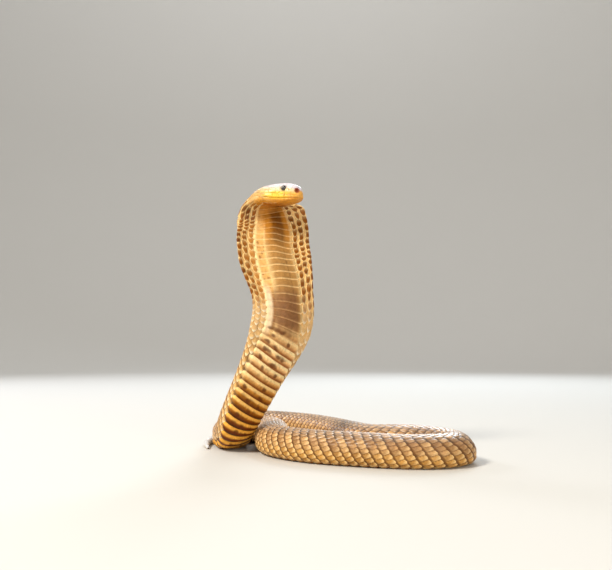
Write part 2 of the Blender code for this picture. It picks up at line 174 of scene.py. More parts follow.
# Scale rows across the back, and their spacing along the body, which is that of the scutes.
ROWS = 19
PITCH = (
    (0, 5.4), (60, 6.1), (100, 6.3), (128, 6.4), (150, 7.1), (178, 7.7), (205, 6.9), (235, 6.7), (300, 7.2),
    (760, 7.0), (1000, 6.0),
)
VENT = 1016.0
TAIL_PITCH = ((1016, 4.6), (1130, 3.8), (1244, 2.4))
# Places along the tail, and the scale rows across its back there and at its tip.
TAIL_ROW_PLACES, TAIL_ROWS = (VENT, VENT + 60, VENT + 140), (ROWS, 15, 11, 7)
SEED = 41

# Where scales and scutes begin behind the head, and how far before the tail's tip scales end, in mm.
# Before the nape, scales lie only beyond an angle from the crown, in degrees, and up to a girth.
FIRST_ROW, FIRST_SCUTE, LAST_ROW = -18.0, -17.0, 4.0
NAPE, JAW_ANGLE = -7.8, 126.0
SCALE_REACH = 1.01

# A scale's half width from root to tip, as a share of its widest.
SCALE_OUTLINE = ((0, 0.40), (0.12, 0.72), (0.42, 1.0), (0.62, 0.90), (0.82, 0.60), (0.95, 0.26), (1.0, 0.06))
# A scale's length by the pitch, half width by its row's width and by the pitch at most, and rise in mm.
SCALE_LENGTH, SCALE_HALF, SCALE_BROADEST, SCALE_RISE = 1.50, 0.88, 0.62, 0.85
# How much less length, half width and rise the hood's scales have, which stand apart, how much
# less length one beside the nape has, and the row's width in mm from which scales rise in full.
HOOD_LESS = (0.26, 0.40, 0.25)
SHOULDER_LESS, FULL_ROW = 0.30, 2.6
# The part of a scale that lies on its own place, and its lean away from the spine.
SCALE_PIVOT, SCALE_TILT = 0.42, 0.16
# Depth of the scales' undersides by their rise, and in mm, more in the hollow beside the nape.
SCALE_UNDER, SCALE_BED, SHOULDER_SINK = 0.32, 0.06, 1.6
# Where the last scale's tip lies before the tail's, in mm.
SCALE_TIP = 0.8
# Pieces of scales: from and to in mm behind the head, and their fineness, an index into SCALE_GRIDS.
SCALE_PIECES = (
    ("hood_scales", -20, 112, 2), ("fore_scales", 112, 262, 0), ("hind_scales", 262, 394, 0),
    ("near_scales", 394, 524, 0), ("right_scales", 524, 622, 0), ("far_scales", 622, 800, 0),
    ("rear_scales", 800, 1016, 1), ("tail_scales", 1016, 1300, 1),
)
SCALE_GRIDS = ((9, 8), (6, 6), (12, 12))
# How far the rows lie tailward on the snake's left and headward on its right, in mm, by its twist.
TWIST = ((0, 0.0), (30, 2.4), (100, 3.4), (135, 6.6), (170, 6.0), (225, 4.4), (262, 1.0), (280, 0.0))
# How far a scale row lies headward of the spine's, by its length round the back.
SLANT = ((0, 0.10), (100, 0.16), (250, 0.30), (300, 0.50), (1016, 0.50), (1244, 0.15))
# Scales along the body from one slanting band to the next.
BAND_STEPS = 4.0

# Pieces of belly scutes: from and to in mm behind the head, and their grid's steps.
SCUTE_PIECES = (("fore_scutes", -30, 262, (14, 60)), ("hind_scutes", 262, VENT, (8, 22)))
# A scute's length by the pitch, how much of it the rounded ends lack, its girth beyond the belly's
# midline, and its rise in mm, with the shares of that on the hood and on the lying body.
SCUTE_LENGTH, SCUTE_ENDS, SCUTE_REACH, SCUTE_HEIGHT = 1.16, 0.5, 1.02, 1.45
HOOD_SCUTES, LYING_SCUTES = 0.42, 0.5
# The depth of its bed by the skin's, and of its underside below that in mm.
SCUTE_BED, SCUTE_SINK = 0.9, 0.4
# The tail's paired scutes: their grid, rise and bed, where the last begins before the tail's tip,
# how far a pair is staggered by the pitch, and the girths of their middles and half widths.
TAIL_SCUTE_GRID, TAIL_SCUTE_HEIGHT, TAIL_BED, TAIL_SINK, TAIL_END = (7, 6), 0.5, 0.8, 0.3, 8.0
TAIL_STAGGER, TAIL_MIDDLE, TAIL_HALF, TAIL_BROAD = 0.25, 1.49, 0.50, 9.0
BLOTCH_PLACES = (-0.56, -0.30, -0.06, 0.26)

# The unwrap: the girths that its height holds, the belly's place on it, a scale's size, the share
# from its middle that the crown takes, and the mm of a shield that have a scale's size.
UNWRAP_GIRTHS, UNWRAP_BELLY, BAKE_PATCH = 4.2, 0.985, 0.003
UNWRAP_CROWN, UNWRAP_SHIELD = 0.2, 12

# Lengths of the body, in mm behind the head, over which one look gives way to the next.
NAPE_END, THROAT_END, HOOD_END = (0, 15), (26, 66), (118, 172)
RIGHT_CELLS, MARGIN_START = (20, 50), (96, 122)
SIDE_START, SIDE_END = (108, 130), (250, 290)
BEND_START, BEND_END = (420, 480), (600, 640)
TAIL_SHEEN_SPAN = (1120, 1215)
SHADOW_START, SHADOW_END = (8, 20), (42, 54)
BAND_START, BAND_END = (82, 99), (114, 127)
KEEL_START, KEEL_END = (78, 94), (118, 132)
ROLLS_START, ROLLS_END = (106, 134), (262, 310)
COLUMN_START, ORANGE_START = (112, 140), (150, 185)
DEEP_START, LYING_START = (142, 212), (285, 330)
MOTTLES_START = (112, 124)
# Girths over which the back's colour gives way to the flank's, and that to the low flank's.
FLANK, LOW_FLANK = (0.26, 0.46), (0.60, 0.82)

# Shields of the head: corners as (distance behind the snout's tip in mm, share of the way
# from the crown's midline to the mouth), for the snake's left and mirrored to its right.
FRONTAL = ((9.7, 0.0), (10.8, 0.26), (17.0, 0.22), (19.6, 0.0), (17.0, -0.22), (10.8, -0.26))
BROW = ((10.8, 0.26), (10.7, 0.49), (13.6, 0.55), (17.3, 0.50), (17.0, 0.22))
CROWN_SHIELDS = (
    ((2.1, 0.0), (2.0, 0.40), (5.5, 0.44), (5.3, 0.0)),
    ((5.3, 0.0), (5.5, 0.44), (7.2, 0.60), (10.7, 0.49), (10.8, 0.26), (9.7, 0.0)),
    ((19.6, 0.0), (17.0, 0.22), (17.3, 0.50), (19.8, 0.57), (25.0, 0.53), (29.4, 0.38), (30.4, 0.0)),
    ((2.0, 0.40), (5.5, 0.44), (7.2, 0.60), (6.4, 0.815), (2.0, 0.815)),
    ((7.2, 0.60), (10.7, 0.49), (11.6, 0.62), (11.2, 0.78), (10.6, 0.83), (6.4, 0.815)),
    ((11.2, 0.78), (13.8, 0.79), (13.8, 0.84), (10.6, 0.83)),
    ((13.8, 0.79), (16.6, 0.76), (17.8, 0.82), (13.8, 0.84)),
    ((17.3, 0.50), (19.8, 0.57), (19.8, 0.66), (16.0, 0.64), (16.0, 0.54)),
    ((16.0, 0.64), (19.8, 0.66), (20.2, 0.77), (17.8, 0.82), (16.6, 0.76)),
    ((19.8, 0.57), (25.0, 0.53), (25.2, 0.66), (19.8, 0.66)),
    ((19.8, 0.66), (25.2, 0.66), (25.4, 0.77), (20.2, 0.77)),
    ((25.0, 0.53), (29.4, 0.38), (31.0, 0.52), (30.8, 0.62), (25.2, 0.66)),
    ((25.2, 0.66), (30.8, 0.62), (31.6, 0.79), (25.4, 0.79)),
)
# The lips' shields: where each meets the next, and the share from crown to mouth where they start.
UPPER_LIP = (1.2, 3.6, 6.4, 9.2, 12.3, 16.8, 22.4, 31.6)
LIP_TOP = (
    (0, 0.815), (6.4, 0.815), (10.6, 0.83), (13.8, 0.84), (17.8, 0.82), (20.2, 0.77), (25.3, 0.78),
    (31.6, 0.79),
)
LIP_SLANT, LIP_BASE = 0.4, 0.985
LOWER_LIP = (1.2, 3.0, 5.4, 8.2, 11.6, 15.6, 20.0, 25.0, 30.0)
# The chin's shields: their share is of the way from the mouth to the chin's midline.
CHIN_SHIELDS = (
    ((2.6, 0.36), (8.6, 0.38), (9.2, 0.97), (3.4, 0.97)),
    ((9.0, 0.40), (15.6, 0.48), (15.0, 0.97), (9.6, 0.97)),
    ((9.2, 0.34), (15.0, 0.34), (19.0, 0.42), (16.2, 0.46)),
)
# The gap between shields and the brow shields' lift in mm, and a shield's rise, top and underside,
# with its rounded rim as (distance inward in mm, share of the rise).
SUTURE, BROW_EDGE = 0.07, 0.35
SHIELD_RISE, SHIELD_BED, SHIELD_UNDER = 0.26, 0.16, -0.9
SHIELD_SKIRT = ((0.0, -1.0), (0.03, 0.42), (0.10, 0.84), (0.24, 1.0), (0.7, 1.04), (1.3, 1.06))
# How far in the rim may reach and where the last ring lies, by the way to the middle, the points
# along a side, and the samples by which a place on the crown is found.
SKIRT_LIMIT, SHIELD_CENTRE, SIDE_STEPS, CROWN_SAMPLES = 0.8, 0.25, 12, 201
# What the shields leave free round an eye and a nostril, in mm.
EYE_CLEAR, NOSTRIL_CLEAR = 2.45, 1.75

# The studio: lights as name, place, size, power and colour, what they face, and the paper's curve.
LIT_PLACE, WALL_PLACE = (-0.03, -0.10, 0.10), (0.0, 3.8, 1.2)
LIGHTS = (
    ("key", (-0.95, -0.80, 1.20), 0.40, 25.0, (1.0, 0.93, 0.80)),
    ("fill", (0.6, -1.5, 0.5), 1.2, 10.0, (1.0, 0.93, 0.82)),
    ("rim", (0.5, 1.4, 1.2), 0.9, 17.0, (0.84, 0.93, 1.0)),
    ("edge", (-1.3, 0.9, 0.9), 0.6, 9.0, (0.88, 0.91, 1.0)),
    ("wall", (0.0, 1.6, 3.6), 1.6, 30.0, (0.97, 0.98, 1.0)),
)
SKY_COLOUR, SKY_STRENGTH = (1.0, 0.97, 0.91, 1.0), 0.55
PAPER = (0.63, 0.62, 0.60, 1.0)
FLOOR_RINGS, FLOOR_RADIUS, WALL_CURVE, WALL_HEIGHT = (0.5, 1.0), 2.2, 1.4, 4.5
FLOOR_TURNS, CURVE_STEPS = 96, 12

# The eye from its rim to its front: places on the way with their linear colours, and the pupil's.
EYE_RINGS = (
    (0.52, (0.004, 0.003, 0.004)), (0.62, (0.014, 0.009, 0.008)), (0.80, (0.016, 0.010, 0.009)),
    (0.865, (0.060, 0.036, 0.020)), (0.89, (0.003, 0.003, 0.004)),
)
PUPIL = (0.004, 0.003, 0.002)


def paint(red, green, blue):
    """A linear colour from the values of 0 to 255 that it shows."""
    shown = np.array([red, green, blue]) / 255
    return np.where(shown <= 0.04045, shown / 12.92, ((shown + 0.055) / 1.055)**2.4)


# Colours of the body: each pair is the range from one scale to the next.
TOP_COLOURS = (paint(170, 132, 94), paint(204, 166, 126))
TOP_EDGE, TOP_TIP = paint(66, 48, 34), paint(214, 188, 156)
GOLD_COLOURS = (paint(212, 158, 96), paint(228, 180, 118))
BROWN_COLOURS = (paint(146, 102, 62), paint(170, 124, 80))
GOLD_TIP, BROWN_TIP = paint(252, 214, 156), paint(200, 152, 100)
LOW_COLOURS = (paint(190, 136, 64), paint(212, 160, 88))
ROOT_SHADE, BARE_SKIN, MUTED = paint(94, 56, 26), paint(84, 56, 30), paint(146, 114, 82)
# The tail's last part is painted pale grey-white as a painted sheen, not the snake's own colour.
TAIL_SHEEN = paint(222, 226, 232)

# How the flanks' and belly's colours are warmed, to offset the pale light that they mirror.
WARMTH = np.array([1.08, 0.99, 0.66])

# Colours of the hood and the reared column.
HOOD_BLOTS = (paint(106, 54, 4), paint(146, 82, 14))
HOOD_RIM, HOOD_SKIN = paint(250, 218, 154), paint(218, 162, 86)
HOOD_CELL = (paint(168, 104, 40), paint(198, 134, 64))
HOOD_BACK = (paint(132, 96, 62), paint(160, 122, 80))
# Margin scales: pale cream, brightened nearly to white partly as painted rim light.
MARGIN_PALE_AND_RIM_LIT = (paint(252, 230, 188), paint(255, 248, 226))
# The margin scales' centres, and the painted shade in the grooves between them.
MARGIN_CENTRE, COLUMN_GROOVE_SHADE = paint(222, 174, 108), paint(140, 92, 42)
# The hood's scutes: tan, and paler on the side towards the key light as painted light; that pale colour also
# fills the fold's cells.
SCUTE_HOOD, SCUTE_PALE_AND_LIT = paint(174, 130, 76), paint(236, 202, 148)
CELL_CENTRE, SQUIGGLE, STREAK = paint(222, 172, 108), paint(140, 84, 34), paint(110, 72, 40)
# The throat's scutes are painted dim as shade under the head, with a deeper painted shadow across them.
THROAT, THROAT_SHADOW = paint(178, 116, 34), paint(112, 64, 6)
SCUTE_TOP, SCUTE_MID, SCUTE_LOW = paint(252, 206, 146), paint(242, 170, 58), paint(126, 62, 2)
SCUTE_UNDER = paint(196, 146, 80)
# Scute edges: a pale free edge on the hood, and down the column a painted highlight on each roll's upper
# edge, with painted shade below each roll.
EDGE_HIGHLIGHT_HOOD, EDGE_HIGHLIGHT_COLUMN, EDGE_HIGHLIGHT_LOW = paint(250, 214, 160), paint(255, 234, 184), paint(248, 190, 96)
SHADE_COLUMN, SHADE_LOW = paint(142, 70, 14), paint(46, 14, 0)
# The scutes' own dark mottles; the pale keel colour is a painted highlight down the keel beside the dark
# band.
MOTTLE, KEEL_HIGHLIGHT = paint(92, 44, 16), paint(252, 228, 200)
BAND, BAND_LINE = paint(134, 92, 62), paint(176, 132, 92)

# Colours of the head.
CROWN, CHEEK = paint(220, 212, 222), paint(232, 208, 156)
LIP_YELLOW, LIP_ORANGE = paint(246, 196, 58), paint(236, 172, 74)
JAW, CHIN = paint(216, 146, 48), paint(178, 110, 36)
NAPE_PALE, NAPE_COLOUR, GULAR = paint(238, 216, 190), paint(230, 184, 112), paint(216, 148, 54)
NOSTRIL_BROWN, LOREAL_MARK, SEAM_DARK = paint(150, 64, 24), paint(190, 112, 44), paint(96, 58, 20)
# The dark seam between two lip shields under the eye, in mm behind the snout's tip.
LIP_SEAM = 12.3


def spline(xs, ys, at):
    """Natural cubic through the points (xs, ys), read at the places given."""
    xs, ys = np.asarray(xs, float), np.asarray(ys, float)
    step = np.diff(xs)
    count = len(xs)
    rows, known = np.eye(count), np.zeros_like(ys)
    for i in range(1, count - 1):
        rows[i, i - 1:i + 2] = step[i - 1], 2 * (step[i - 1] + step[i]), step[i]
        known[i] = 6 * ((ys[i + 1] - ys[i]) / step[i] - (ys[i] - ys[i - 1]) / step[i - 1])
    bend = np.linalg.solve(rows, known)
    k = np.clip(np.searchsorted(xs, at, side="right") - 1, 0, count - 2)
    h, a, b = step[k][:, None], (xs[k + 1] - at)[:, None], (at - xs[k])[:, None]
    curve = (bend[k] * a**3 + bend[k + 1] * b**3) / (6 * h)
    return curve + (ys[k] / h - bend[k] * h / 6) * a + (ys[k + 1] / h - bend[k + 1] * h / 6) * b


def eased(table, at):
    """Value of a (place, value) table between its rows, level at each turning point."""
    xs, ys = (np.array(column, float) for column in zip(*table))
    slopes = np.diff(ys) / np.diff(xs)
    product, total = slopes[1:] * slopes[:-1], slopes[1:] + slopes[:-1]
    inner = np.divide(2 * product, total, out=np.zeros_like(product), where=product > 0)
    tangent = np.concatenate([[slopes[0]], inner, [slopes[-1]]])
    at = np.clip(np.asarray(at, float), xs[0], xs[-1])
    k = np.clip(np.searchsorted(xs, at, side="right") - 1, 0, len(xs) - 2)
    h = xs[k + 1] - xs[k]
    t = (at - xs[k]) / h
    return ((2 * t**3 - 3 * t**2 + 1) * ys[k] + (t**3 - 2 * t**2 + t) * h * tangent[k]
            + (3 * t**2 - 2 * t**3) * ys[k + 1] + (t**3 - t**2) * h * tangent[k + 1])


def smooth(low, high, value):
    """0 below low, 1 above high, and eased between."""
    t = np.clip((value - low) / (high - low), 0.0, 1.0)
    return t * t * (3 - 2 * t)


def mixed(first, second, share):
    """Colours or values between two, by share."""
    first, second = np.asarray(first, float), np.asarray(second, float)
    share = np.asarray(share, float)
    if first.ndim or second.ndim:
        share = share[..., None]
    return first * (1 - share) + second * share


def layered(colour, *layers):
    """A colour under layers of others, each given as (colour, share)."""
    for other, share in layers:
        colour = mixed(colour, other, share)
    return colour


def within(start, end, place):
    """1 between a start and an end, each a pair of places that it is eased over, and 0 outside."""
    return smooth(*start, place) * (1 - smooth(*end, place))


def wave(x, y, seed):
    """Smooth noise between 0 and 1 from two coordinates, as sums of turned sines."""
    total = np.zeros(np.broadcast(x, y).shape)
    for i in range(4):
        turn = seed * 1.7 + i * 2.4
        stretch = 1.0 + 0.37 * i
        total += np.sin(stretch * (x * math.cos(turn) + y * math.sin(turn)) + seed * 3.1 + i * 1.9)
    return 0.5 + total / 8


def unit(vectors):
    """Vectors at length 1 along the last axis."""
    return vectors / np.maximum(np.linalg.norm(vectors, axis=-1, keepdims=True), 1e-12)


def head_turn():
    """The head's own axes (forward, left, up) as rows, in the world."""
    cos, sin = math.cos(math.radians(HEAD_TURN)), math.sin(math.radians(HEAD_TURN))
    return np.array([(cos, sin, 0), (-sin, cos, 0), (0, 0, 1)])


HEAD_AXES = head_turn()
HEAD_ORIGIN = np.array(HEAD_JOINT) - (*PLAN_CENTRE, 0.0)


def head_point(back, side, height):
    """World place in mm of a place in the head's own frame."""
    return HEAD_ORIGIN + np.array([HEAD_LENGTH - back, side, height]) @ HEAD_AXES


def pitch_at(s):
    """Spacing of the scale rows and scutes at distances s along the body, in mm."""
    return np.where(s < VENT, eased(PITCH, s), eased(TAIL_PITCH, s))


def stations(start, end):
    """Places along the body from start until end is passed, each a pitch after the last."""
    places = [start]
    while places[-1] < end:
        places.append(places[-1] + float(pitch_at(places[-1])))
    return np.array(places)


class Body:
    """The snake's outer surface as a grid in mm.

    Its rows run from the snout to the tail's tip, at distances s along the body, with the
    head at s below 0. Its columns run round the body, by the angle from the spine. A place
    round the body is also given as a girth: 0 on the spine, 1 at the belly scutes' edge and
    2 on the belly's midline, positive on the snake's left.
    """

    def __init__(self):
        points = np.array(BODY_ROUTE) - (*PLAN_CENTRE, 0.0)
        chord = np.concatenate([[0], np.cumsum(np.linalg.norm(np.diff(points, axis=0), axis=1))])
        self.line = spline(chord, points, np.linspace(0, chord[-1], LINE_POINTS))
        self.run = np.concatenate([[0], np.cumsum(np.linalg.norm(np.diff(self.line, axis=0), axis=1))])
        self.way = np.gradient(self.line, self.run, axis=0)
        self.length = self.run[-1]
        head_s = np.arange(SNOUT_TIP - HEAD_LENGTH, -HEAD_STEP / 2, HEAD_STEP)
        trunk_s = np.arange(0.0, self.length - 0.2, TRUNK_STEP)
        self.s = np.concatenate([head_s, trunk_s])
        self.phi = np.linspace(-math.pi, math.pi, COLUMNS)
        grid = np.concatenate([self.head(head_s + HEAD_LENGTH), self.trunk(trunk_s)])
        self.grid = self.blended(grid)
        self.measure()
        self.grid[..., 2] = np.maximum(self.grid[..., 2], 0.0)
        along = np.gradient(self.grid, self.s, axis=0)
        around = np.gradient(self.grid, self.phi, axis=1)
        self.normals = unit(np.cross(around, along))

    def frames(self, s):
        """Centres, tailward directions, left sides and belly directions at distances s."""
        centre = np.stack([np.interp(s, self.run, self.line[:, i]) for i in range(3)], -1)
        way = unit(np.stack([np.interp(s, self.run, self.way[:, i]) for i in range(3)], -1))
        turn, dip = np.radians(eased(BELLY_TURN, s)), np.radians(eased(BELLY_DIP, s))
        belly = np.stack([np.sin(turn) * np.cos(dip), -np.cos(turn) * np.cos(dip), -np.sin(dip)], -1)
        belly = unit(belly - way * (way * belly).sum(-1, keepdims=True))
        return centre, way, np.cross(belly, way), belly

    def trunk(self, s):
        """Rows of the surface at distances s."""
        centre, _, left, belly = self.frames(s)
        tables = (HALF_WIDTH, DORSAL_DEPTH, VENTRAL_DEPTH)
        wide, back, front = (eased(table, s)[:, None] for table in tables)
        hood = eased(HOOD_SHARE, s)[:, None]
        across, up = np.sin(self.phi)[None], np.cos(self.phi)[None]
        round_back = eased(BACK_ROUND, s)[:, None]
        body = np.where(up > 0, back * np.abs(up)**round_back, -front * np.abs(up)**BELLY_ROUND)
        swell = np.exp(-(across * wide / HOOD_CORE)**2)
        leaf = HOOD_EDGE * np.abs(up)**WING_ROUND
        spread = np.where(up > 0, leaf + (back - HOOD_EDGE) * swell, -leaf - (front - HOOD_EDGE) * swell)
        spread = spread - HOOD_BOW * wide * across**2 * hood
        x = across * wide + eased(HOOD_SHIFT, s)[:, None]
        y = body * (1 - hood) + spread * hood
        return centre[:, None] + x[..., None] * left[:, None] - y[..., None] * belly[:, None]

    def head(self, back):
        """Rows of the head's surface at distances behind the snout's tip."""
        columns = list(zip(*HEAD_ROWS))
        wide, top, mouth, chin = (
            eased(list(zip(columns[0], column)), back)[:, None] for column in columns[1:])
        neck = eased(((NECK_START, 0.0), (HEAD_LENGTH, 1.0)), back)[:, None]
        crown_side, crown_up = (a + (b - a) * neck for a, b in zip(CROWN_ROUND, (1.0, NECK_ROUND)))
        jaw_side, jaw_down = (a + (b - a) * neck for a, b in zip(JAW_ROUND, (1.0, BELLY_ROUND)))
        back = back[:, None]
        lips = np.clip((MOUTH_BACK - back) / MOUTH_FADE, 0, 1) * np.clip(back / MOUTH_FRONT, 0, 1)
        across, up = np.abs(np.sin(self.phi))[None], np.cos(self.phi)[None]
        above = smooth(-LIP_BLEND, LIP_BLEND, up)
        off_brow = (np.abs(self.phi)[None] - BROW_ANGLE) / BROW_SPREAD
        brow = BROW_RISE * np.exp(-((back - BROW_BACK) / BROW_REACH)**2 - off_brow**2)
        high = (top - mouth) * np.abs(up)**crown_up
        low = (mouth - chin) * np.abs(up)**jaw_down
        z = mouth + np.where(up > 0, high + brow, -low)
        lip = LIP_SWELL * lips * np.exp(-(high / LIP_HEIGHT)**2)
        crown = across**crown_side * (wide + lip)
        jaw = across**jaw_side * (wide - JAW_INSET * lips)
        y = crown * above + jaw * (1 - above)
        groove = np.minimum(MOUTH_DEPTH, wide / 5) * lips * np.exp(-((z - mouth) / MOUTH_WIDTH)**2)
        y = (y - groove) * np.sign(self.phi)[None]
        way = HEAD_AXES @ self.frames(np.array([0.0]))[1][0]
        x = HEAD_LENGTH - back - neck * (way[1] * y + way[2] * z) / way[0]
        return HEAD_ORIGIN + self.hollowed(np.stack([x, y, z], -1)) @ HEAD_AXES

    def hollowed(self, place):
        """The head's places, in its own frame, with the eye sockets' and nostrils' rims and pits."""
        for side in (1, -1):
            for (back, beside, high), facing, reach, rim, pit in HOLLOWS:
                outward = unit(np.array(facing) * (1, side, 1))
                away = place - np.array([HEAD_LENGTH - back, side * beside, high])
                ahead = away @ outward
                near = np.linalg.norm(away - ahead[..., None] * outward, axis=-1)
                ridge = rim[0] * np.exp(-((near - rim[1]) / rim[2])**2)
                height = (ridge - pit[0] * np.exp(-(near / pit[1])**pit[2])) * (ahead > reach)
                place = place + height[..., None] * outward
        return place

    def blended(self, grid):
        """The grid with its rows eased into each other where the head meets the neck."""
        near = np.abs(self.s) < NECK_BLEND
        share = (1 - smooth(0.4 * NECK_BLEND, NECK_BLEND, np.abs(self.s)))[:, None, None]
        for _ in range(NECK_PASSES):
            middle = grid.copy()
            middle[1:-1] = (grid[2:] + grid[:-2]) / 2
            grid = np.where(near[:, None, None], grid + share * 0.5 * (middle - grid), grid)
        return grid

    def measure(self):
        """Length round each row from the spine, and the angle at each girth."""
        half = COLUMNS // 2
        step = np.linalg.norm(np.diff(self.grid[:, half:], axis=1), axis=-1)
        arc = np.concatenate([np.zeros((len(self.s), 1)), np.cumsum(step, axis=1)], axis=1)
        angles = self.phi[half:]
        s = np.maximum(self.s, 0.0)
        corner_share = np.minimum(WIDEST_CORNER, eased(SCUTE_HALF, s) / eased(HALF_WIDTH, s))
        corner = math.pi - np.arcsin(corner_share)
        self.back_arc = np.array([np.interp(c, angles, row) for c, row in zip(corner, arc)])
        self.belly_arc = arc[:, -1] - self.back_arc
        share = np.linspace(0, 1, GIRTH_STEPS + 1)
        mouth = arc[:, half // 2, None]
        crown, jaw = share * mouth, mouth + share * (arc[:, -1:] - mouth)
        self.crown, self.jaw = (
            np.array([np.interp(at, row, angles) for at, row in zip(places, arc)])
            for places in (crown, jaw))
        self.angles = np.empty((len(self.s), 2 * GIRTH_STEPS + 1))
        self.girths = np.empty((len(self.s), len(angles)))
        for i, row in enumerate(arc):
            back, belly = self.back_arc[i], self.belly_arc[i]
            lengths = np.concatenate([share * back, back + share[1:] * belly])
            self.angles[i] = np.interp(lengths, row, angles)
            self.girths[i] = np.where(row < back, row / back, 1 + (row - back) / belly)

    def read(self, table, s, column):
        """Values of a table between its rows and columns."""
        i = np.interp(s, self.s, np.arange(len(self.s)))
        i0 = np.minimum(i.astype(int), len(self.s) - 2)
        k0 = np.clip(column.astype(int), 0, table.shape[1] - 2)
        a, b = i - i0, column - k0
        if table.ndim == 3:
            a, b = a[..., None], b[..., None]
        upper = table[i0, k0] * (1 - b) + table[i0, k0 + 1] * b
        lower = table[i0 + 1, k0] * (1 - b) + table[i0 + 1, k0 + 1] * b
        return upper * (1 - a) + lower * a

    def angle(self, s, girth):
        """Angle from the spine at a girth."""
        return np.sign(girth) * self.read(self.angles, s, np.abs(girth) * GIRTH_STEPS)

    def surface(self, s, angle, height):
        """Places at a height over the surface, and none under the ground."""
        column = np.mod((angle + math.pi) / (2 * math.pi) * (COLUMNS - 1), COLUMNS - 1)
        place = self.read(self.grid, s, column)
        place = place + unit(self.read(self.normals, s, column)) * height[..., None]
        place[..., 2] = np.maximum(place[..., 2], 0.02)
        return place

    def back_width(self, s):
        """Length over the back from the spine to the scutes' edge."""
        return np.interp(s, self.s, self.back_arc)


def mesh_object(name, points, faces, tint, uv):
    """A smooth mesh object from arrays.

    The points are in mm, and each array of faces has 3 or 4 corners to a face. Each point has
    a tint and a place on the unwrap.
    """
    mesh = bpy.data.meshes.new(name)
    sizes = np.concatenate([np.full(len(group), group.shape[1]) for group in faces])
    corners = np.concatenate([group.ravel() for group in faces])
    mesh.vertices.add(len(points))
    mesh.vertices.foreach_set("co", (points * MM).astype(np.float32).ravel())
    mesh.loops.add(len(corners))
    mesh.loops.foreach_set("vertex_index", corners.astype(np.int32))
    mesh.polygons.add(len(sizes))
    mesh.polygons.foreach_set("loop_start", np.concatenate([[0], np.cumsum(sizes)[:-1]]).astype(np.int32))
    mesh.update(calc_edges=True)
    mesh.validate()
    mesh.shade_smooth()
    colours = mesh.attributes.new("tint", "FLOAT_COLOR", "POINT")
    colours.data.foreach_set("color", tint.astype(np.float32).ravel())
    layer = mesh.uv_layers.new(name="OFBake")
    layer.data.foreach_set("uv", uv[corners].astype(np.float32).ravel())
    return linked(name, mesh)


def linked(name, data):
    """An object of that data, linked to the scene."""
    made = bpy.data.objects.new(name, data)
    bpy.context.scene.collection.objects.link(made)
    return made


def ring_quads(rings, around, start=0):
    """Faces between rings of points that follow each other from a first index."""
    i, k = np.meshgrid(np.arange(rings - 1), np.arange(around), indexing="ij")
    a, after = start + i * around, (k + 1) % around
    return np.stack([a + k, a + around + k, a + around + after, a + after], -1).reshape(-1, 4)


def fan(point, ring):
    """Faces from one point to a ring of points."""
    return np.stack([np.full(len(ring), point), ring, np.roll(ring, -1)], -1)


def capped_faces(rings, around):
    """Faces of rings that are closed by two more points, the first ring's cap and the last ring's."""
    ring, count = np.arange(around), rings * around
    caps = [fan(count, ring), fan(count + 1, count - around + ring[::-1])]
    return ring_quads(rings, around), np.concatenate(caps)


def unwrapped(body, s, across):
    """Places on the unwrap at distances s along the body, and shares across it."""
    along = (s + HEAD_LENGTH) / (body.length + HEAD_LENGTH)
    return np.stack([along, across + 0 * along], -1)


def with_alpha(tint, alpha):
    """Colours with a fourth value, which the looks read as gloss."""
    return np.concatenate([tint, alpha + np.zeros((*tint.shape[:-1], 1))], -1)


def ranged(pair, pick):
    """A colour of a pair's range, by each scale's own draw."""
    return mixed(pair[0], pair[1], pick)


def hood_part(s):
    """How far the colours are the hood's, 0 to 1."""
    return 1 - smooth(*HOOD_END, s)


def spot(place, radius, s, angle, body):
    """How near places on the head are to a spot on both its sides, 0 to 1."""
    places = body.surface(s, np.abs(angle), np.zeros(np.shape(s)))
    away = np.linalg.norm(places - head_point(*place), axis=-1)
    return 1 - smooth(0.7 * radius, 1.2 * radius, away)


def head_colour(s, angle, body):
    """The head's colours over its surface: pale crown, cream cheek, yellow lip, orange jaw."""
    back = s + HEAD_LENGTH
    girth = np.abs(angle) / (math.pi / 2)
    rise = body.surface(s, angle, np.zeros(np.shape(s)))[..., 2] - HEAD_ORIGIN[2]
    lip = mixed(LIP_ORANGE, LIP_YELLOW, smooth(6, 13, back))
    front = smooth(2.4, 0.2, rise) * smooth(5.0, 2.4, back)
    nape = mixed(NAPE_PALE, NAPE_COLOUR, smooth(0.35, 0.75, girth))
    rear = smooth(21, HEAD_LENGTH, back) * (1 - smooth(1.2, 1.6, girth))
    seam = np.exp(-((back - LIP_SEAM) / 0.35)**2) * within((0.72, 0.78), (0.97, 1.0), girth)
    return layered(
        mixed(CROWN, CHEEK, smooth(0.46, 0.70, girth)),
        (lip, np.maximum(smooth(0.72, 0.84, girth), front)),
        (mixed(lip, JAW, smooth(1.0, 1.16, girth)), smooth(0.985, 1.02, girth)),
        (CHIN, smooth(1.40, 1.85, girth) * smooth(6, 26, back)),
        (nape, 0.85 * rear),
        (LOREAL_MARK, 0.75 * spot(LOREAL_PLACE, 0.9, s, angle, body)),
        (SEAM_DARK, 0.75 * seam),
        (NOSTRIL_BROWN, spot(NOSTRIL_PLACE, 2.5, s, angle, body)))


def skin_colour(s, angle, girth, body):
    """The bare skin between the scales, and the head's own colours under its shields."""
    side = np.abs(girth)
    hood = layered(
        HOOD_SKIN, (HOOD_RIM, 0.5 * wave(s * 0.2, girth * 6, 3)), (HOOD_BACK[0], smooth(0.55, 0.25, side)),
        (THROAT, 0.7 * smooth(1.0, 1.05, side)))
    trunk = layered(BARE_SKIN, (ROOT_SHADE, smooth(0.6, 0.9, side)), (hood, hood_part(s)))
    return mixed(head_colour(s, angle, body), trunk, smooth(-3.0, 2.0, s))


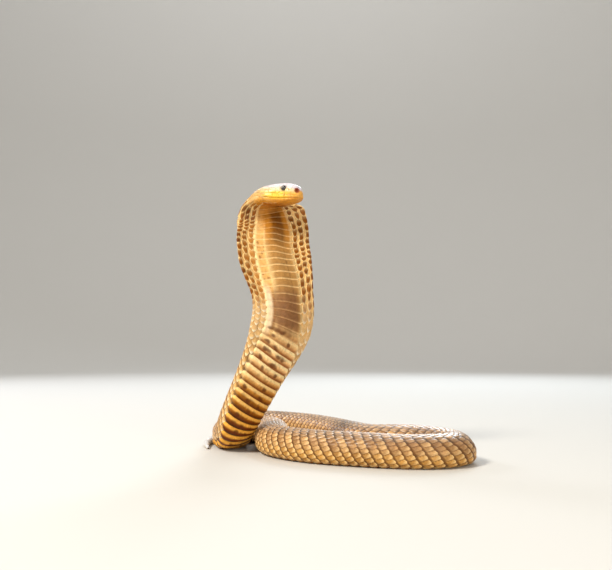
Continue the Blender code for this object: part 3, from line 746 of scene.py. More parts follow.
def skin_places(body, rows, count):
    """The skin's points on rows of count columns, with their distances and angles."""
    s, angle = np.meshgrid(rows, -math.pi + 2 * math.pi * np.arange(count) / count, indexing="ij")
    sunk = -SKIN_DEPTH * smooth(0.0, 2.5, s + HEAD_LENGTH - SNOUT_TIP) * (0.35 + 0.65 * smooth(-9, -3, s))
    sunk = sunk * (1 + 0.5 * within((-2, 2), (20, 40), s))
    return body.surface(s, angle, sunk).reshape(-1, 3), s.ravel(), angle.ravel()


def skin_faces(fine_rows, fine, coarse_rows, coarse):
    """Faces of the skin, where each coarse column meets three fine ones, and of its two ends."""
    first = fine_rows * fine
    count = first + coarse_rows * coarse
    quads = [ring_quads(fine_rows, fine), ring_quads(coarse_rows, coarse, first)]
    k = np.arange(coarse)
    f = [first - fine + (3 * k + j) % fine for j in range(4)]
    c, d = first + k, first + (k + 1) % coarse
    seam = [np.stack(t, -1) for t in ((f[0], c, f[1]), (f[1], c, f[2]), (f[2], c, d), (f[2], d, f[3]))]
    caps = [fan(count, np.arange(fine)), fan(count + 1, count - coarse + k[::-1])]
    return [np.concatenate(quads)[:, ::-1], np.concatenate(seam + caps)[:, ::-1]]


def build_skin(body):
    """The whole snake's skin: fine rows on the head, three times coarser round the trunk."""
    head, neck, column, lying = SKIN_STEPS
    fine_rows = np.concatenate([
        np.arange(SNOUT_TIP - HEAD_LENGTH, 0.0, head), np.arange(0.0, SKIN_NECK_END, neck)])
    coarse_rows = np.concatenate([
        np.arange(SKIN_NECK_END + neck, SKIN_COLUMN_END, column),
        np.arange(SKIN_COLUMN_END, body.length - TAIL_TIP, lying)])
    fine, coarse = COLUMNS - 1, (COLUMNS - 1) // 3
    crown, chin = body.surface(np.full(2, fine_rows[0]), np.array([0.0, math.pi]), np.zeros(2))
    tips = np.array([(crown + chin) / 2, body.line[-1]])
    ends = (tips, np.array([fine_rows[0], body.length]), np.zeros(2))
    parts = (skin_places(body, fine_rows, fine), skin_places(body, coarse_rows, coarse), ends)
    points, s, angle = (np.concatenate(arrays) for arrays in zip(*parts))
    girth = np.sign(angle) * body.read(body.girths, s, (np.abs(angle) / math.pi) * (COLUMNS // 2))
    faces = skin_faces(len(fine_rows), fine, len(coarse_rows), coarse)
    tint = with_alpha(skin_colour(s, angle, girth, body), 1.0)
    return mesh_object("skin", points, faces, tint, unwrapped(body, s, 0.5 + girth / UNWRAP_GIRTHS))


class Plate:
    """A closed plate over the unit square: u runs from its root to its free edge, v across it.

    half gives its half width at each u, and height its rise at each (u, v), both as shares.
    """

    def __init__(self, steps_u, steps_v, half, height):
        even = np.linspace(-1, 1, steps_v + 1)
        v = 0.6 * np.sin(even * math.pi / 2) + 0.4 * even
        grids = np.meshgrid(np.linspace(0, 1, steps_u + 1), v, indexing="ij")
        u, v = (grid.ravel() for grid in grids)
        wide, last = steps_v + 1, steps_u * (steps_v + 1)
        under = np.concatenate([np.arange(wide), last + np.arange(wide)])
        self.u, self.v, self.across, self.rise = (
            np.concatenate([values, values[under]]) for values in (u, v, v * half(u), height(u, v)))
        self.sunk = np.concatenate([np.zeros(len(u)), np.ones(len(under))])
        self.count = len(self.u)
        self.quads, self.triangles = self.faces(steps_u, steps_v)

    def faces(self, steps_u, steps_v):
        """Faces of the top, the walls and the underside, whose corners are the last two rows."""
        wide, last = steps_v + 1, steps_u * (steps_v + 1)
        i, k = np.meshgrid(np.arange(steps_u), np.arange(steps_v), indexing="ij")
        a = i * wide + k
        top = np.stack([a, a + 1, a + wide + 1, a + wide], -1).reshape(-1, 4)
        k = np.arange(steps_v)
        root, tip = last + wide + k, last + 2 * wide + k
        ends = [np.stack([k, root, root + 1, k + 1], -1),
                np.stack([last + k, last + k + 1, tip + 1, tip], -1)]
        under = np.stack([root, tip, tip + 1, root + 1], -1)
        i = np.arange(steps_u) * wide
        near, far = root[0], root[-1] + 1
        sides = [np.stack([np.full(steps_u, near), i, i + wide], -1),
                 np.stack([np.full(steps_u, far), i + wide + steps_v, i + steps_v], -1)]
        corners = np.array([(near, last, tip[0]), (far, tip[-1] + 1, last + steps_v)])
        return np.concatenate([top, *ends, under]), np.concatenate([*sides, corners])


def plates_object(name, plate, body, s, angle, height, tint, root, gloss):
    """One object of many copies of a plate, given the places of all their points."""
    points = body.surface(s, angle, height).reshape(-1, 3)
    offset = (np.arange(len(s)) * plate.count)[:, None, None]
    faces = [(plate.quads[None] + offset).reshape(-1, 4), (plate.triangles[None] + offset).reshape(-1, 3)]
    patch = np.stack([plate.u - 0.5, plate.v / 2], -1) * BAKE_PATCH
    unwrap = (root[:, None] + patch[None]).reshape(-1, 2)
    return mesh_object(name, points, faces, with_alpha(tint, gloss).reshape(-1, 4), unwrap)


def twist(s, angle):
    """How far a place lies tailward by the body's twist, in mm."""
    return eased(TWIST, s) * np.sin(angle)


def scale_half(u):
    """Half width of a scale from its root to its tip."""
    return eased(SCALE_OUTLINE, u)


def scale_rise(u, v):
    """Rise of a scale: up from its root, round across, and down at its rim."""
    lift = 0.08 + 0.92 * smooth(-0.1, 0.80, u)
    rim = 1 - smooth(0.84, 1.0, u) * 0.60
    return lift * rim * (1 - 0.62 * np.abs(v)**2.4)


def scale_lattice(body):
    """Places of the scales across the back: rows, each with its distance and girth."""
    places = stations(FIRST_ROW, body.length - LAST_ROW)
    half_steps = np.interp(np.arange(2 * len(places) - 1) / 2, np.arange(len(places)), places)
    rows = np.arange(-(ROWS // 2), ROWS // 2 + 1)
    step, row = np.meshgrid(np.arange(len(half_steps)), rows, indexing="ij")
    keep = (step + row) % 2 == 0
    step, row = step[keep], row[keep]
    s = half_steps[step]
    rows_here = np.interp(s, (*TAIL_ROW_PLACES, body.length), TAIL_ROWS)
    girth = row / (rows_here / 2)
    reach = SCALE_REACH - np.where(girth > 0, 0, eased(RIGHT_REACH, s))
    inside = (s > NAPE) | (np.abs(body.angle(s, girth)) > math.radians(JAW_ANGLE))
    inside &= np.abs(girth) < reach
    return [values[inside][:, None] for values in (s, girth, row, step, rows_here)]


def band_share(row, step, pick):
    """How dark a scale is by the slanting bands of the upper flank, 0 to 1."""
    phase = (step - np.abs(row) + 1) / BAND_STEPS + 0.20 * (pick - 0.5)
    return smooth(-0.60, 0.80, np.sin(2 * math.pi * phase))


def rear_share(u, v):
    """How far places on a scale lie on its free rim, from 0, and above 1 at the rim's sides."""
    return smooth(0.66, 0.90, u) + smooth(0.62, 0.95, np.abs(v)) * smooth(0.52, 0.70, u)


def groove_shade_share(u, v):
    """How far places on a scale lie in the groove behind the scales before it, darkened as painted shade, 0
    to 1.
    """
    return 1 - smooth(0.0, 0.15, u - 0.31 - 0.34 * np.abs(v))


def trunk_scale_colour(s, side, row, step, pick, u, v):
    """A scale's colours on the trunk: brown back with dark edges, gold flank with slanting bands, painted
    shade in the grooves.
    """
    flank, low, bend = smooth(*FLANK, side), smooth(*LOW_FLANK, side), within(BEND_START, BEND_END, s)
    band = (0.12 + 0.30 * bend + 0.58 * band_share(row, step, pick)) * (1 - smooth(0.46, 0.78, side))
    brown = ranged(BROWN_COLOURS, pick)
    gold = mixed(ranged(GOLD_COLOURS, pick), brown, band)
    centre = layered(
        ranged(TOP_COLOURS, pick), (brown, 0.45 * band), (gold, flank),
        (ranged(LOW_COLOURS, pick), low), (MUTED, (0.10 + 0.32 * bend) * flank * (1 - 0.4 * low)))
    tip = mixed(TOP_TIP, mixed(GOLD_TIP, BROWN_TIP, band), flank)
    rim = smooth(0.90, 1.0, u) + smooth(0.82, 1.0, np.abs(v)) * smooth(0.5, 0.7, u)
    dark = 0.85 * groove_shade_share(u, v) + 0.7 * rim * (1 - flank)
    return layered(
        centre * (0.88 + 0.22 * pick)[..., None],
        (tip, np.clip(rear_share(u, v), 0, 1) * (0.20 + 0.68 * flank)),
        (mixed(TOP_EDGE, ROOT_SHADE, flank), np.clip(dark, 0, 1)))


def hood_scale_colour(s, girth, pick, margin_pale_and_lit, u, v):
    """A scale's colours on the hood: an uneven brown oval on pale gold, or a brown back."""
    side = np.abs(girth)
    rough = 0.34 * (wave(v * 4 + 23 * pick, u * 6 + 17 * pick, 7) - 0.5)
    spread = np.abs(v + 0.30 * (pick - 0.5)) + rough
    outer = smooth(0.70, 0.90, spread) + smooth(0.84, 0.94, u + rough) + smooth(0.14, 0.06, u - rough)
    outer = np.clip(outer, 0, 1)
    cell = smooth(0.80, 0.90, -girth) * smooth(*RIGHT_CELLS, s)
    return layered(
        ranged(HOOD_BLOTS, pick), (ranged(HOOD_CELL, pick), cell),
        (HOOD_RIM, 0.22 * smooth(0.55, 0.15, u)), (HOOD_RIM, outer * 0.9),
        (mixed(ranged(HOOD_BACK, pick), TOP_EDGE, 0.6 * outer), smooth(0.58, 0.40, side)),
        (margin_pale_and_lit, 0.9 * smooth(0.60, 0.72, side) * smooth(*MARGIN_START, s)))


def scale_colour(s, girth, row, step, pick, u, v):
    """A scale's colours, from its own place and the place (u, v) on it."""
    side, hood = np.abs(girth), hood_part(s)
    # Margin scales, pale cream and partly brightened as painted rim light.
    margin_pale_and_lit = mixed(MARGIN_CENTRE, ranged(MARGIN_PALE_AND_RIM_LIT, pick), np.clip(rear_share(u, v) + 0.15, 0, 1))
    column = smooth(0.62, 0.78, side) * within(SIDE_START, SIDE_END, s)
    nape = layered(
        NAPE_PALE, (NAPE_COLOUR, smooth(0.25, 0.60, side)), (ranged(HOOD_BACK, pick), 0.15 + 0.2 * pick),
        (GULAR, smooth(0.72, 0.90, side)))
    colour = layered(
        trunk_scale_colour(s, side, row, step, pick, u, v),
        (mixed(margin_pale_and_lit, COLUMN_GROOVE_SHADE, 0.75 * groove_shade_share(u, v)), 0.9 * column),
        # The tail's end turns pale grey-white as a painted sheen.
        (hood_scale_colour(s, girth, pick, margin_pale_and_lit, u, v), hood), (TAIL_SHEEN, 0.85 * smooth(*TAIL_SHEEN_SPAN, s)))
    warmth = mixed(np.ones(3), WARMTH, 0.5 * smooth(*LOW_FLANK, side) * (1 - hood))
    return mixed(nape, colour, smooth(*NAPE_END, s)) * warmth


class Scales:
    """The scales of the back and flanks: each one's place, own draws and size, in mm."""

    def __init__(self, body):
        self.body = body
        self.s, self.girth, self.row, self.step, rows_here = scale_lattice(body)
        draw, shape = np.random.default_rng(SEED), self.s.shape
        self.pick, self.sway, size = draw.random(shape), draw.normal(0, 1, shape), draw.normal(0, 1, shape)
        self.back = body.back_width(self.s)
        pitch, row_width, side = pitch_at(self.s), self.back / (rows_here / 2), np.abs(self.girth)
        apart = hood_part(self.s) * smooth(-2, 14, self.s) * smooth(0.30, 0.55, side)
        less_length, less_half, less_rise = (share * apart for share in HOOD_LESS)
        self.shoulder = smooth(0.30, 0.50, side) * within((-9, -4), (22, 34), self.s)
        share = SCALE_LENGTH - less_length - SHOULDER_LESS * self.shoulder * (1 - apart)
        self.length = pitch * share * (1 + 0.03 * size)
        half = row_width * (SCALE_HALF - less_half) * (1 + (0.03 + 0.06 * apart) * self.sway)
        self.half = np.minimum(half, pitch * SCALE_BROADEST)
        self.rise = (SCALE_RISE - less_rise) * np.minimum(1.0, row_width / FULL_ROW)

    def piece(self, name, plate, start, end):
        """One object of the scales from start to end along the body."""
        chosen = (self.s[:, 0] >= start) & (self.s[:, 0] < end)
        own = (self.s, self.girth, self.row, self.step, self.pick, self.sway)
        s, girth, row, step, pick, sway = (values[chosen] for values in own)
        sizes = (self.back, self.length, self.half, self.rise, self.shoulder)
        back, length, half, rise, shoulder = (values[chosen] for values in sizes)
        u, side = plate.u[None], np.abs(girth)
        lean = np.sign(girth) * SCALE_TILT * (u - SCALE_PIVOT) * length * smooth(0.1, 0.4, side)
        girths = girth + (plate.across[None] * half + lean * smooth(18, 60, s)) / back
        places = s + (u - SCALE_PIVOT) * length + 0.1 * sway + twist(s, self.body.angle(s, girth))
        places = places - eased(SLANT, s) * back * np.sqrt(girths**2 + 0.002)
        places = np.clip(places, self.body.s[0] + 1, self.body.length - SCALE_TIP)
        height = (plate.rise - SCALE_UNDER * plate.sunk)[None] * rise - SKIN_DEPTH
        height = height - (SCALE_BED + SHOULDER_SINK * shoulder) * plate.sunk[None]
        tint = scale_colour(s, girth + 0 * girths, row, step, pick, u + 0 * girth, plate.v[None] + 0 * girth)
        root = unwrapped(self.body, s[:, 0], 0.5 + girth[:, 0] / UNWRAP_GIRTHS)
        gloss = ((1 - smooth(0.25, 0.55, side)) * (1 - hood_part(s)))[..., None]
        angle = self.body.angle(places, girths)
        return plates_object(name, plate, self.body, places, angle, height, tint, root, gloss)


def build_scales(body):
    """The scales of the back and flanks, in pieces by lengths of the body."""
    scales = Scales(body)
    plates = [Plate(*steps, scale_half, scale_rise) for steps in SCALE_GRIDS]
    return [scales.piece(name, plates[level], start, end) for name, start, end, level in SCALE_PIECES]


def scute_half(u):
    """A belly scute is as wide at its root as at its free edge."""
    return np.ones_like(u)


def scute_rise(u, v):
    """Rise of a scute: a roll from a sunk root to a free edge, with rounded ends."""
    roll = smooth(0.02, 0.40, u) * (1 - 0.90 * smooth(0.66, 1.0, u)**1.3)
    return roll * (1 - 0.9 * smooth(0.90, 1.0, np.abs(v)))


def scute_ground(s, v, low, deep, lying, throat):
    """The scutes' ground colour: tan with a painted lit side on the hood, painted shade on the throat, gold
    to brown below.
    """
    shadow = within((-0.30, 0.05), (0.45, 0.75), v) * within(SHADOW_START, SHADOW_END, s)
    under_head_shade = layered(CHIN, (THROAT, smooth(0, 14, s)), (THROAT_SHADOW, shadow))
    column = mixed(SCUTE_TOP, SCUTE_MID, smooth(*ORANGE_START, s))
    return layered(
        SCUTE_HOOD, (SCUTE_PALE_AND_LIT, smooth(0.15, 0.6, -v)),
        (column, low), (SCUTE_LOW, deep), (SCUTE_UNDER, lying),
        (under_head_shade, throat * (1 - 0.55 * smooth(0.4, 0.8, -v) * smooth(6, 34, s))))


def hood_scute_colour(ground, edge, s, v, u, pick, throat):
    """A scute's colours on the hood: pale cells on the fold, a dark streak and a pale free edge."""
    fold = smooth(0.40, 0.50, -v) * (1 - 0.95 * throat * smooth(46, 20, s))
    cell = np.clip(smooth(0.80, 0.92, -v) + 1 - smooth(0.44, 0.56, -v) + 1 - smooth(0.04, 0.14, u), 0, 1)
    mark = smooth(0.56, 0.70, wave(s * 0.9 + 29 * pick, v * 19 + 17 * pick, 6)) * (1 - cell)
    inner = layered(CELL_CENTRE, (SCUTE_PALE_AND_LIT, cell), (SQUIGGLE, 0.65 * mark * (pick > 0.55)))
    streak = np.exp(-((v - 0.50 - 0.0012 * (s - 60)) / 0.022)**2) * (1 - throat)
    line = smooth(0.82, 0.90, u) * (0.90 - 0.70 * throat * (1 - fold))
    return layered(ground, (inner, fold), (STREAK, 0.5 * streak), (edge, line))


def column_scute_colour(ground, edge, u, deep, lying):
    """A scute's colours down the column: painted shade at its root, a painted highlight on its upper edge,
    and painted shade below it.
    """
    return layered(
        ground, (mixed(SHADE_COLUMN, SHADE_LOW, deep), 0.90 * smooth(0.42, 0.88, u)),
        (edge, within((0.08, 0.16), (0.28, 0.50), u) * (0.95 - 0.5 * lying)),
        (SHADE_LOW, 0.85 * (1 - smooth(0.05, 0.13, u))))


def dark_band(s, v):
    """How far places on the scutes lie in the hood's dark band, with its ragged ends, 0 to 1."""
    ragged = 5 * (wave(v * 14, s * 0.12, 4) - 0.5)
    sides = smooth(-0.98, -0.60, v + 0.03 * ragged) * (1 - smooth(0.66, 0.90, v + 0.04 * ragged))
    return within(BAND_START, BAND_END, s + ragged) * sides


def blotches(v, u, pick):
    """How near places on a scute are to its few round dark blotches, 0 to 1."""
    nearest = np.zeros(np.broadcast(v, u, pick).shape)
    for i, middle in enumerate(BLOTCH_PLACES):
        draw = np.mod(pick * (7.31 + 5.17 * i) + 0.37 * i, 1)
        size = 0.07 + 0.11 * np.mod(draw * 3.7, 1)
        shown = smooth(0.36, 0.60, np.mod(draw * 9.1, 1))
        tilt = 0.4 * (v - middle) * np.sign(draw - 0.4)
        off = (v - middle - 0.34 * (draw - 0.5)) / size
        away = off**2 + ((u - 0.48 - 0.26 * np.mod(draw * 5.3, 1) + tilt) / 0.21)**2
        away = away + 1.8 * (wave(v * 17, u * 5 + 30 * pick, 2) - 0.5)
        nearest = np.maximum(nearest, shown * (1 - smooth(0.1, 2.0, away)))
    return nearest


def mottles(s, v, u, pick, deep, lying):
    """How dark the scutes' blotches and the finer mottles between them are, 0 to 1."""
    fine = smooth(0.50, 0.72, wave(v * 22 + 40 * pick, u * 5 + 11 * pick, 9))
    fine = fine * np.exp(-((v + 0.05) / 0.5)**4) * within((0.22, 0.40), (0.62, 0.86), u)
    fine = fine * (0.30 + 0.40 * deep)
    return np.maximum(blotches(v, u, pick), fine) * smooth(*MOTTLES_START, s) * (1 - 0.6 * lying)


def scute_colour(s, v, u, pick):
    """A belly scute's colours: gold with a painted highlight and painted shade on each roll, and the hood's
    dark band.
    """
    low, deep = smooth(*COLUMN_START, s), within(DEEP_START, LYING_START, s)
    lying, throat = smooth(*LYING_START, s), 1 - smooth(*THROAT_END, s)
    ground = scute_ground(s, v, low, deep, lying, throat)
    # A pale free edge on the hood; down the column this colour is a painted highlight on each roll's upper
    # edge.
    edge = layered(EDGE_HIGHLIGHT_HOOD, (EDGE_HIGHLIGHT_COLUMN, low), (EDGE_HIGHLIGHT_LOW, deep))
    colour = layered(
        hood_scute_colour(ground, edge, s, v, u, pick, throat),
        (column_scute_colour(ground, edge, u, deep, lying), low),
        (mixed(BAND, BAND_LINE, smooth(0.82, 0.90, u)), 0.90 * dark_band(s, v)),
        # Painted highlight down the scutes' keel on the lit side, beside the dark band.
        (KEEL_HIGHLIGHT, 0.75 * smooth(0.58, 0.74, -v) * within(KEEL_START, KEEL_END, s)),
        (EDGE_HIGHLIGHT_COLUMN, 0.35 * smooth(0.80, 0.95, np.abs(v)) * (1 - deep)),
        (MOTTLE, 0.84 * mottles(s, v, u, pick, deep, lying)))
    return colour * mixed(np.ones(3), WARMTH, 0.30 + 0.70 * deep)


def build_scutes(body):
    """The broad scutes of the belly, from throat to vent, in two pieces."""
    places = stations(FIRST_SCUTE, VENT)
    picks = np.random.default_rng(SEED + 1).random(len(places))
    pieces = []
    for name, low, high, steps in SCUTE_PIECES:
        plate = Plate(*steps, scute_half, scute_rise)
        chosen = (places >= low) & (places < high)
        start, pick = places[chosen][:, None], picks[chosen][:, None]
        u, v = plate.u[None], 0 * start - plate.v[None]
        right = -(2 + v * (SCUTE_REACH + eased(RIGHT_REACH, start)))
        girth = np.where(v >= 0, 2 - v * SCUTE_REACH, right)
        share = SCUTE_LENGTH - SCUTE_ENDS * smooth(0.88, 1.0, np.abs(v))
        straight = start + (0.5 + (u - 0.5) * share) * pitch_at(start)
        s = straight + twist(straight, body.angle(straight, girth))
        rise = SCUTE_HEIGHT * mixed(HOOD_SCUTES, 1.0, smooth(*ROLLS_START, start))
        rise = rise * mixed(1.0, LYING_SCUTES, smooth(*ROLLS_END, start))
        height = plate.rise[None] * rise - SKIN_DEPTH * SCUTE_BED - plate.sunk[None] * SCUTE_SINK
        tint = scute_colour(s, v, u + 0 * start, pick)
        root = unwrapped(body, start[:, 0], UNWRAP_BELLY)
        pieces.append(plates_object(name, plate, body, s, body.angle(s, girth), height, tint, root, 0.0))
    return pieces


def build_tail_scutes(body):
    """The paired scutes under the tail, from the vent to its tip."""
    places = stations(VENT, body.length - TAIL_END)
    start = np.repeat(places, 2)[:, None]
    side = np.tile([1.0, -1.0], len(places))[:, None]
    plate = Plate(*TAIL_SCUTE_GRID, scute_half, scute_rise)
    u, v = plate.u[None], plate.v[None]
    s = start + (TAIL_STAGGER * side + 0.5 + (u - 0.5) * SCUTE_LENGTH) * pitch_at(start)
    s = np.minimum(s, body.length - TAIL_TIP)
    angle = body.angle(s, side * TAIL_MIDDLE + v * TAIL_HALF)
    rise = TAIL_SCUTE_HEIGHT * eased(HALF_WIDTH, start) / TAIL_BROAD
    height = plate.rise[None] * rise - SKIN_DEPTH * TAIL_BED - plate.sunk[None] * TAIL_SINK
    tint = mixed(SCUTE_UNDER, ROOT_SHADE, 0.6 * (1 - smooth(0.1, 0.3, u)) + 0 * v + 0 * start)
    root = unwrapped(body, start[:, 0], UNWRAP_BELLY + 0.005 * side[:, 0])
    return plates_object("tail_scutes", plate, body, s, angle, height, tint, root, 0.0)


def shield_list():
    """The head's shields: the part of the head that each lies on, its corners and its side."""
    shields = [("crown", FRONTAL, 1)]
    for side in (1, -1):
        shields.append(("brow", BROW, side))
        shields += [("crown", outline, side) for outline in CROWN_SHIELDS]
        for low, high in zip(UPPER_LIP[:-1], UPPER_LIP[1:]):
            tops = [(back, float(np.interp(back, *zip(*LIP_TOP)))) for back in (low, (low + high) / 2, high)]
            feet = ((high - LIP_SLANT, LIP_BASE), (low - LIP_SLANT, LIP_BASE))
            shields.append(("crown", (*tops, *feet), side))
        for low, high in zip(LOWER_LIP[:-1], LOWER_LIP[1:]):
            shields.append(("jaw", ((low, 0.03), (high, 0.03), (high, 0.31), (low, 0.32)), side))
        shields += [("jaw", outline, side) for outline in CHIN_SHIELDS]
    return shields


def shield_rings(outline, width, holes):
    """Rings of a shield's points in mm, from its outline to near its middle, and their rise."""
    corners = np.array(outline, float) * (1.0, width)
    middle = corners.mean(axis=0)
    after = np.roll(corners, -1, axis=0)
    share = np.linspace(0, 1, SIDE_STEPS + 1)[:-1, None]
    edge = np.concatenate([a + (b - a) * share for a, b in zip(corners, after)])
    for _ in range(2):
        edge = 0.5 * edge + 0.25 * (np.roll(edge, 1, axis=0) + np.roll(edge, -1, axis=0))
    for place, radius in holes:
        away = edge - place
        distance = np.linalg.norm(away, axis=1, keepdims=True)
        edge = np.where(distance < radius, place + away / distance * radius, edge)
    reach = np.linalg.norm(edge - middle, axis=1)
    shown = [step for step in SHIELD_SKIRT if step[0] < reach.min() * SKIRT_LIMIT]
    shares = [(1 - (inset + SUTURE) / reach)[:, None] for inset, _ in shown] + [SHIELD_CENTRE]
    rises = [rise for _, rise in shown] + [SHIELD_SKIRT[-1][1]]
    return [middle + (edge - middle) * share for share in shares], rises, middle


def crown_share(body, back, side, height):
    """Share of the way from the crown's midline to the mouth where a place on the head lies."""
    shares = np.linspace(0, 1, CROWN_SAMPLES)
    s = np.full(CROWN_SAMPLES, back - HEAD_LENGTH)
    places = body.surface(s, body.read(body.crown, s, shares * GIRTH_STEPS), 0 * s)
    return shares[np.argmin(np.linalg.norm(places - head_point(back, side, height), axis=1))]


def head_arc(body, part, back):
    """Length round one side of the head's crown or jaw, at a distance behind the snout's tip."""
    i = int(np.argmin(np.abs(body.s - (back - HEAD_LENGTH))))
    step = np.linalg.norm(np.diff(body.grid[i, COLUMNS // 2:], axis=0), axis=1)
    quarter = COLUMNS // 4
    return step[quarter:].sum() if part == "jaw" else step[:quarter].sum()


def shield(body, part, outline, side, clear):
    """One shield's points, faces, tints and places on the unwrap."""
    width = head_arc(body, part, np.mean([corner[0] for corner in outline]))
    holes = [(np.array([back, share * width]), radius) for back, share, radius in clear if part != "jaw"]
    rings, rises, middle = shield_rings(outline, width, holes)
    around = len(rings[0])
    flat = np.concatenate([*rings, [middle], [middle]])
    rise = np.concatenate([np.repeat(rises, around), [SHIELD_UNDER, SHIELD_SKIRT[-1][1]]])
    s = np.clip(flat[:, 0] - HEAD_LENGTH, body.s[0], 0)
    girth = flat[:, 1] / width
    table = body.jaw if part == "jaw" else body.crown
    angle = np.sign(girth + 1e-9) * side * body.read(table, s, np.abs(girth) * GIRTH_STEPS)
    lift = BROW_EDGE * smooth(0.24, 0.50, girth) * smooth(-0.5, 1.0, rise) * (part == "brow")
    points = body.surface(s, angle, rise * SHIELD_RISE + lift - SHIELD_BED)
    quads, caps = capped_faces(len(rings), around)
    area = np.cross(points[:around], np.roll(points[:around], -1, axis=0)).sum(axis=0)
    if area @ (points[-1] - points[-2]) > 0:
        quads, caps = quads[:, ::-1], caps[:, ::-1]
    rim = np.clip(1.0 - rise, 0, 1)[:, None]
    tint = np.clip(head_colour(s, angle, body) * (1 - 0.30 * rim), 0, 1)
    root = unwrapped(body, middle[0] - HEAD_LENGTH, 0.5 + side * middle[1] / width * UNWRAP_CROWN)
    return points, quads, caps, tint, root + (flat - middle) / UNWRAP_SHIELD * BAKE_PATCH


def build_shields(body):
    """The smooth shields of the head as one object of closed plates."""
    spots = ((EYE_PLACE, EYE_CLEAR), (NOSTRIL_PLACE, NOSTRIL_CLEAR))
    clear = [(place[0], crown_share(body, *place), radius) for place, radius in spots]
    made = [shield(body, *described, clear) for described in shield_list()]
    points, quads, caps, tints, places = zip(*made)
    starts = np.concatenate([[0], np.cumsum([len(own) for own in points])[:-1]])
    quads, caps = (
        np.concatenate([own + start for own, start in zip(faces, starts)]) for faces in (quads, caps))
    points, tints, places = (np.concatenate(arrays) for arrays in (points, tints, places))
    return mesh_object("head_shields", points, [quads, caps], with_alpha(tints, 0.3), places)


def build_eye(side, word):
    """One eye as a fine ball that looks outward, in its own object."""
    rings, around = EYE_GRID
    polar = np.linspace(0, math.pi, rings + 2)[1:-1]
    a, b = np.meshgrid(polar, np.arange(around) / around * 2 * math.pi, indexing="ij")
    points = np.stack([np.sin(a) * np.cos(b), np.sin(a) * np.sin(b), np.cos(a)], -1).reshape(-1, 3)
    points = np.concatenate([points, [[0, 0, 1]], [[0, 0, -1]]]) * EYE_RADIUS
    unwrap = points[:, :2] / (2 * EYE_RADIUS) + 0.5
    shine = np.ones((len(points), 4))
    made = mesh_object(f"{word}_eyeball", points, capped_faces(rings, around), shine, unwrap)
    outward = unit(np.array(EYE_FACING) * (1, side, 1)) @ HEAD_AXES
    made.rotation_mode = "QUATERNION"
    made.rotation_quaternion = Vector(outward).to_track_quat("Z", "Y")
    back, beside, high = EYE_PLACE
    made.location = Vector(head_point(back, side * (beside - EYE_SUNK), high)) * MM
    return made


class Finish:
    """A node material under construction, with short calls for its nodes and links."""

    def __init__(self, name):
        self.material = bpy.data.materials.new(name)
        self.material.use_nodes = True
        self.tree = self.material.node_tree
        self.shader = self.tree.nodes["Principled BSDF"]

    def feed(self, socket, value):
        """Links a socket to another one, or sets its value."""
        if isinstance(value, bpy.types.NodeSocket):
            self.tree.links.new(value, socket)
        else:
            socket.default_value = value

    def node(self, kind, settings=None, **inputs):
        """A node of that kind with its settings. Inputs go by name, or by number as i0, i1 and so on."""
        made = self.tree.nodes.new(kind)
        for key, value in (settings or {}).items():
            setattr(made, key, value)
        for key, value in inputs.items():
            self.feed(made.inputs[int(key[1:]) if key[1:].isdigit() else key], value)
        return made

    def noise(self, scale, detail=4.0, rough=0.55):
        """Noise from the object's own coordinates, with so many waves in a metre."""
        where = self.node("ShaderNodeTexCoord").outputs["Object"]
        made = self.node("ShaderNodeTexNoise", Vector=where, Scale=scale, Detail=detail, Roughness=rough)
        return made.outputs["Fac"]

    def span(self, value, low, high, to_low, to_high):
        """The value mapped from one range to another, and held within it."""
        made = self.node("ShaderNodeMapRange", i0=value, i1=low, i2=high, i3=to_low, i4=to_high)
        return made.outputs[0]

    def times(self, first, second):
        """Two colours multiplied."""
        settings = {"data_type": "RGBA", "blend_type": "MULTIPLY"}
        return self.node("ShaderNodeMix", settings, i0=1.0, i6=first, i7=second).outputs[2]

    def set(self, **values):
        """Sets or links the shader's own inputs."""
        for key, value in values.items():
            self.feed(self.shader.inputs[key.replace("_", " ")], value)

    def bump(self, height, strength, distance):
        """Sets the shader's normal from a height."""
        made = self.node("ShaderNodeBump", Height=height, Strength=strength, Distance=distance)
        self.set(Normal=made.outputs[0])


def reptile_finish(name, rough, coat, grain, depth):
    """Skin or scales: their own tint with fine cloudy variation, a satin gloss and a fine grain.

    The tint's fourth value, 0 to 1, adds gloss, and a coat of 0 leaves the clear coat out. The
    grain is in waves to a metre, and its depth in metres.
    """
    finish = Finish(name)
    own = finish.node("ShaderNodeAttribute", {"attribute_name": "tint"})
    clouds = finish.span(finish.noise(420.0, 5.0), 0.3, 0.7, 0.80, 1.14)
    specks = finish.span(finish.noise(1900.0, 3.0, 0.7), 0.35, 0.68, 0.88, 1.07)
    colour = finish.times(finish.times(own.outputs["Color"], clouds), specks)
    gloss = finish.span(finish.noise(800.0, 3.0), 0.3, 0.7, *rough)
    mirror = finish.span(own.outputs["Alpha"], 0.0, 1.0, 0.11, 0.42)
    sheen = finish.span(own.outputs["Alpha"], 0.0, 1.0, coat, 0.6) if coat else 0.0
    finish.set(Base_Color=colour, Roughness=gloss, Coat_Weight=sheen, Coat_Roughness=0.24)
    finish.set(Specular_IOR_Level=mirror)
    finish.bump(finish.noise(grain, 4.0, 0.6), 0.55, depth)
    return finish.material


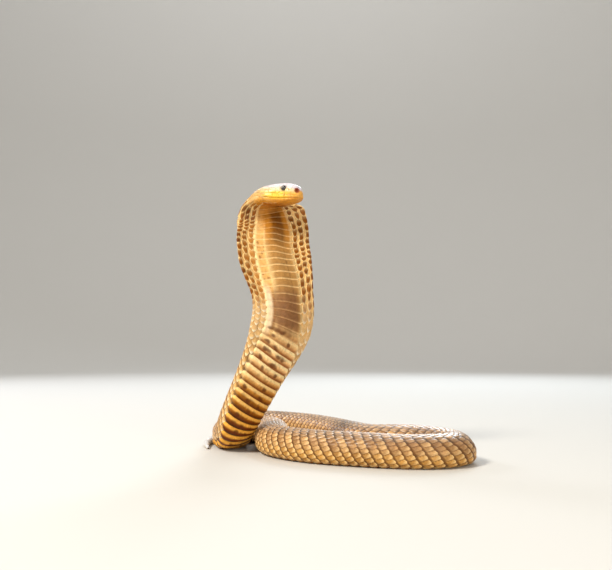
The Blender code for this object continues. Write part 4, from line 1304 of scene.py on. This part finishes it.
def eye_finish():
    """A dark eye: a round pupil in a deep brown iris with a thin paler ring, under a wet gloss."""
    finish = Finish("eye")
    where = finish.node("ShaderNodeTexCoord").outputs["Object"]
    parts = finish.node("ShaderNodeSeparateXYZ", Vector=where)
    front = finish.span(parts.outputs["Z"], 0.0, EYE_RADIUS * MM, 0.0, 1.0)
    ramp = finish.node("ShaderNodeValToRGB", Fac=front)
    stops = ramp.color_ramp.elements
    stops.remove(stops[0])
    stops[0].color = (*PUPIL, 1.0)
    for place, colour in EYE_RINGS:
        stops.new(place).color = (*colour, 1.0)
    fleck = finish.span(finish.noise(3200.0, 3.0), 0.3, 0.7, 0.65, 1.3)
    finish.set(Base_Color=finish.times(ramp.outputs["Color"], fleck), Roughness=0.06)
    finish.set(Coat_Weight=1.0, Coat_Roughness=0.02)
    return finish.material


def build_floor():
    """A plain pale floor that curves up into a wall all round."""
    profile = [(radius, 0.0) for radius in (*FLOOR_RINGS, FLOOR_RADIUS)]
    for i in range(1, CURVE_STEPS + 1):
        turn = i / CURVE_STEPS * math.pi / 2
        profile.append((FLOOR_RADIUS + WALL_CURVE * math.sin(turn), WALL_CURVE * (1 - math.cos(turn))))
    profile.append((FLOOR_RADIUS + WALL_CURVE, WALL_HEIGHT))
    turns = [2 * math.pi * k / FLOOR_TURNS for k in range(FLOOR_TURNS)]
    points = [(r * math.cos(turn), r * math.sin(turn), z) for r, z in profile for turn in turns]
    centre = fan(len(points), np.arange(FLOOR_TURNS)).tolist()
    faces = centre + ring_quads(len(profile), FLOOR_TURNS).tolist()
    mesh = bpy.data.meshes.new("floor")
    mesh.from_pydata(points + [(0.0, 0.0, 0.0)], [], faces)
    mesh.shade_smooth()
    paper = Finish("paper")
    paper.set(Base_Color=PAPER, Roughness=0.9)
    mesh.materials.append(paper.material)
    linked("floor", mesh)


def build_lights():
    """Soft light: a key from the upper left, a fill, two rims, one for the wall, and a pale sky."""
    for name, place, size, power, colour in LIGHTS:
        light = bpy.data.lights.new(name, "AREA")
        light.shape = "DISK"
        light.size, light.energy, light.color = size, power, colour
        lamp = linked(name, light)
        lamp.location = place
        aim = WALL_PLACE if name == "wall" else LIT_PLACE
        lamp.rotation_euler = (Vector(aim) - Vector(place)).to_track_quat("-Z", "Y").to_euler()
    world = bpy.data.worlds.new("studio")
    world.use_nodes = True
    sky = world.node_tree.nodes["Background"]
    sky.inputs["Color"].default_value = SKY_COLOUR
    sky.inputs["Strength"].default_value = SKY_STRENGTH
    bpy.context.scene.world = world
    bpy.context.scene.view_settings.view_transform = "Standard"


def build_camera():
    """The photograph's view: level height, slight upward pitch and its focal length."""
    data = bpy.data.cameras.new("camera")
    data.sensor_width = SENSOR_WIDTH
    data.lens = FOCAL_PIXELS / FRAME_WIDTH * SENSOR_WIDTH
    data.clip_start = 0.01
    camera = linked("camera", data)
    camera.location = CAMERA_PLACE
    camera.rotation_euler = (math.radians(90 + CAMERA_PITCH), 0, 0)
    bpy.context.scene.camera = camera


def main():
    """Builds the snake's looks, its stage and its camera."""
    body = Body()
    build_camera()
    build_floor()
    build_lights()
    skin = build_skin(body)
    coat = build_scales(body) + build_scutes(body) + [build_tail_scutes(body), build_shields(body)]
    skin_look = reptile_finish("skin", (0.45, 0.62), coat=0.0, grain=2600.0, depth=0.00006)
    scale_look = reptile_finish("scales", (0.32, 0.50), coat=0.05, grain=3000.0, depth=0.00003)
    skin.data.materials.append(skin_look)
    for piece in coat:
        piece.data.materials.append(scale_look)
    flesh = [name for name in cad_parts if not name.startswith("eye")]
    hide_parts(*flesh)
    for piece in [skin] + coat:
        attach(piece, "root")
    eye_look = eye_finish()
    for side, word in ((1, "left"), (-1, "right")):
        eye = build_eye(side, word)
        eye.data.materials.append(eye_look)
        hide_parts(f"eye_{word}")
        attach(eye, "root")


main()
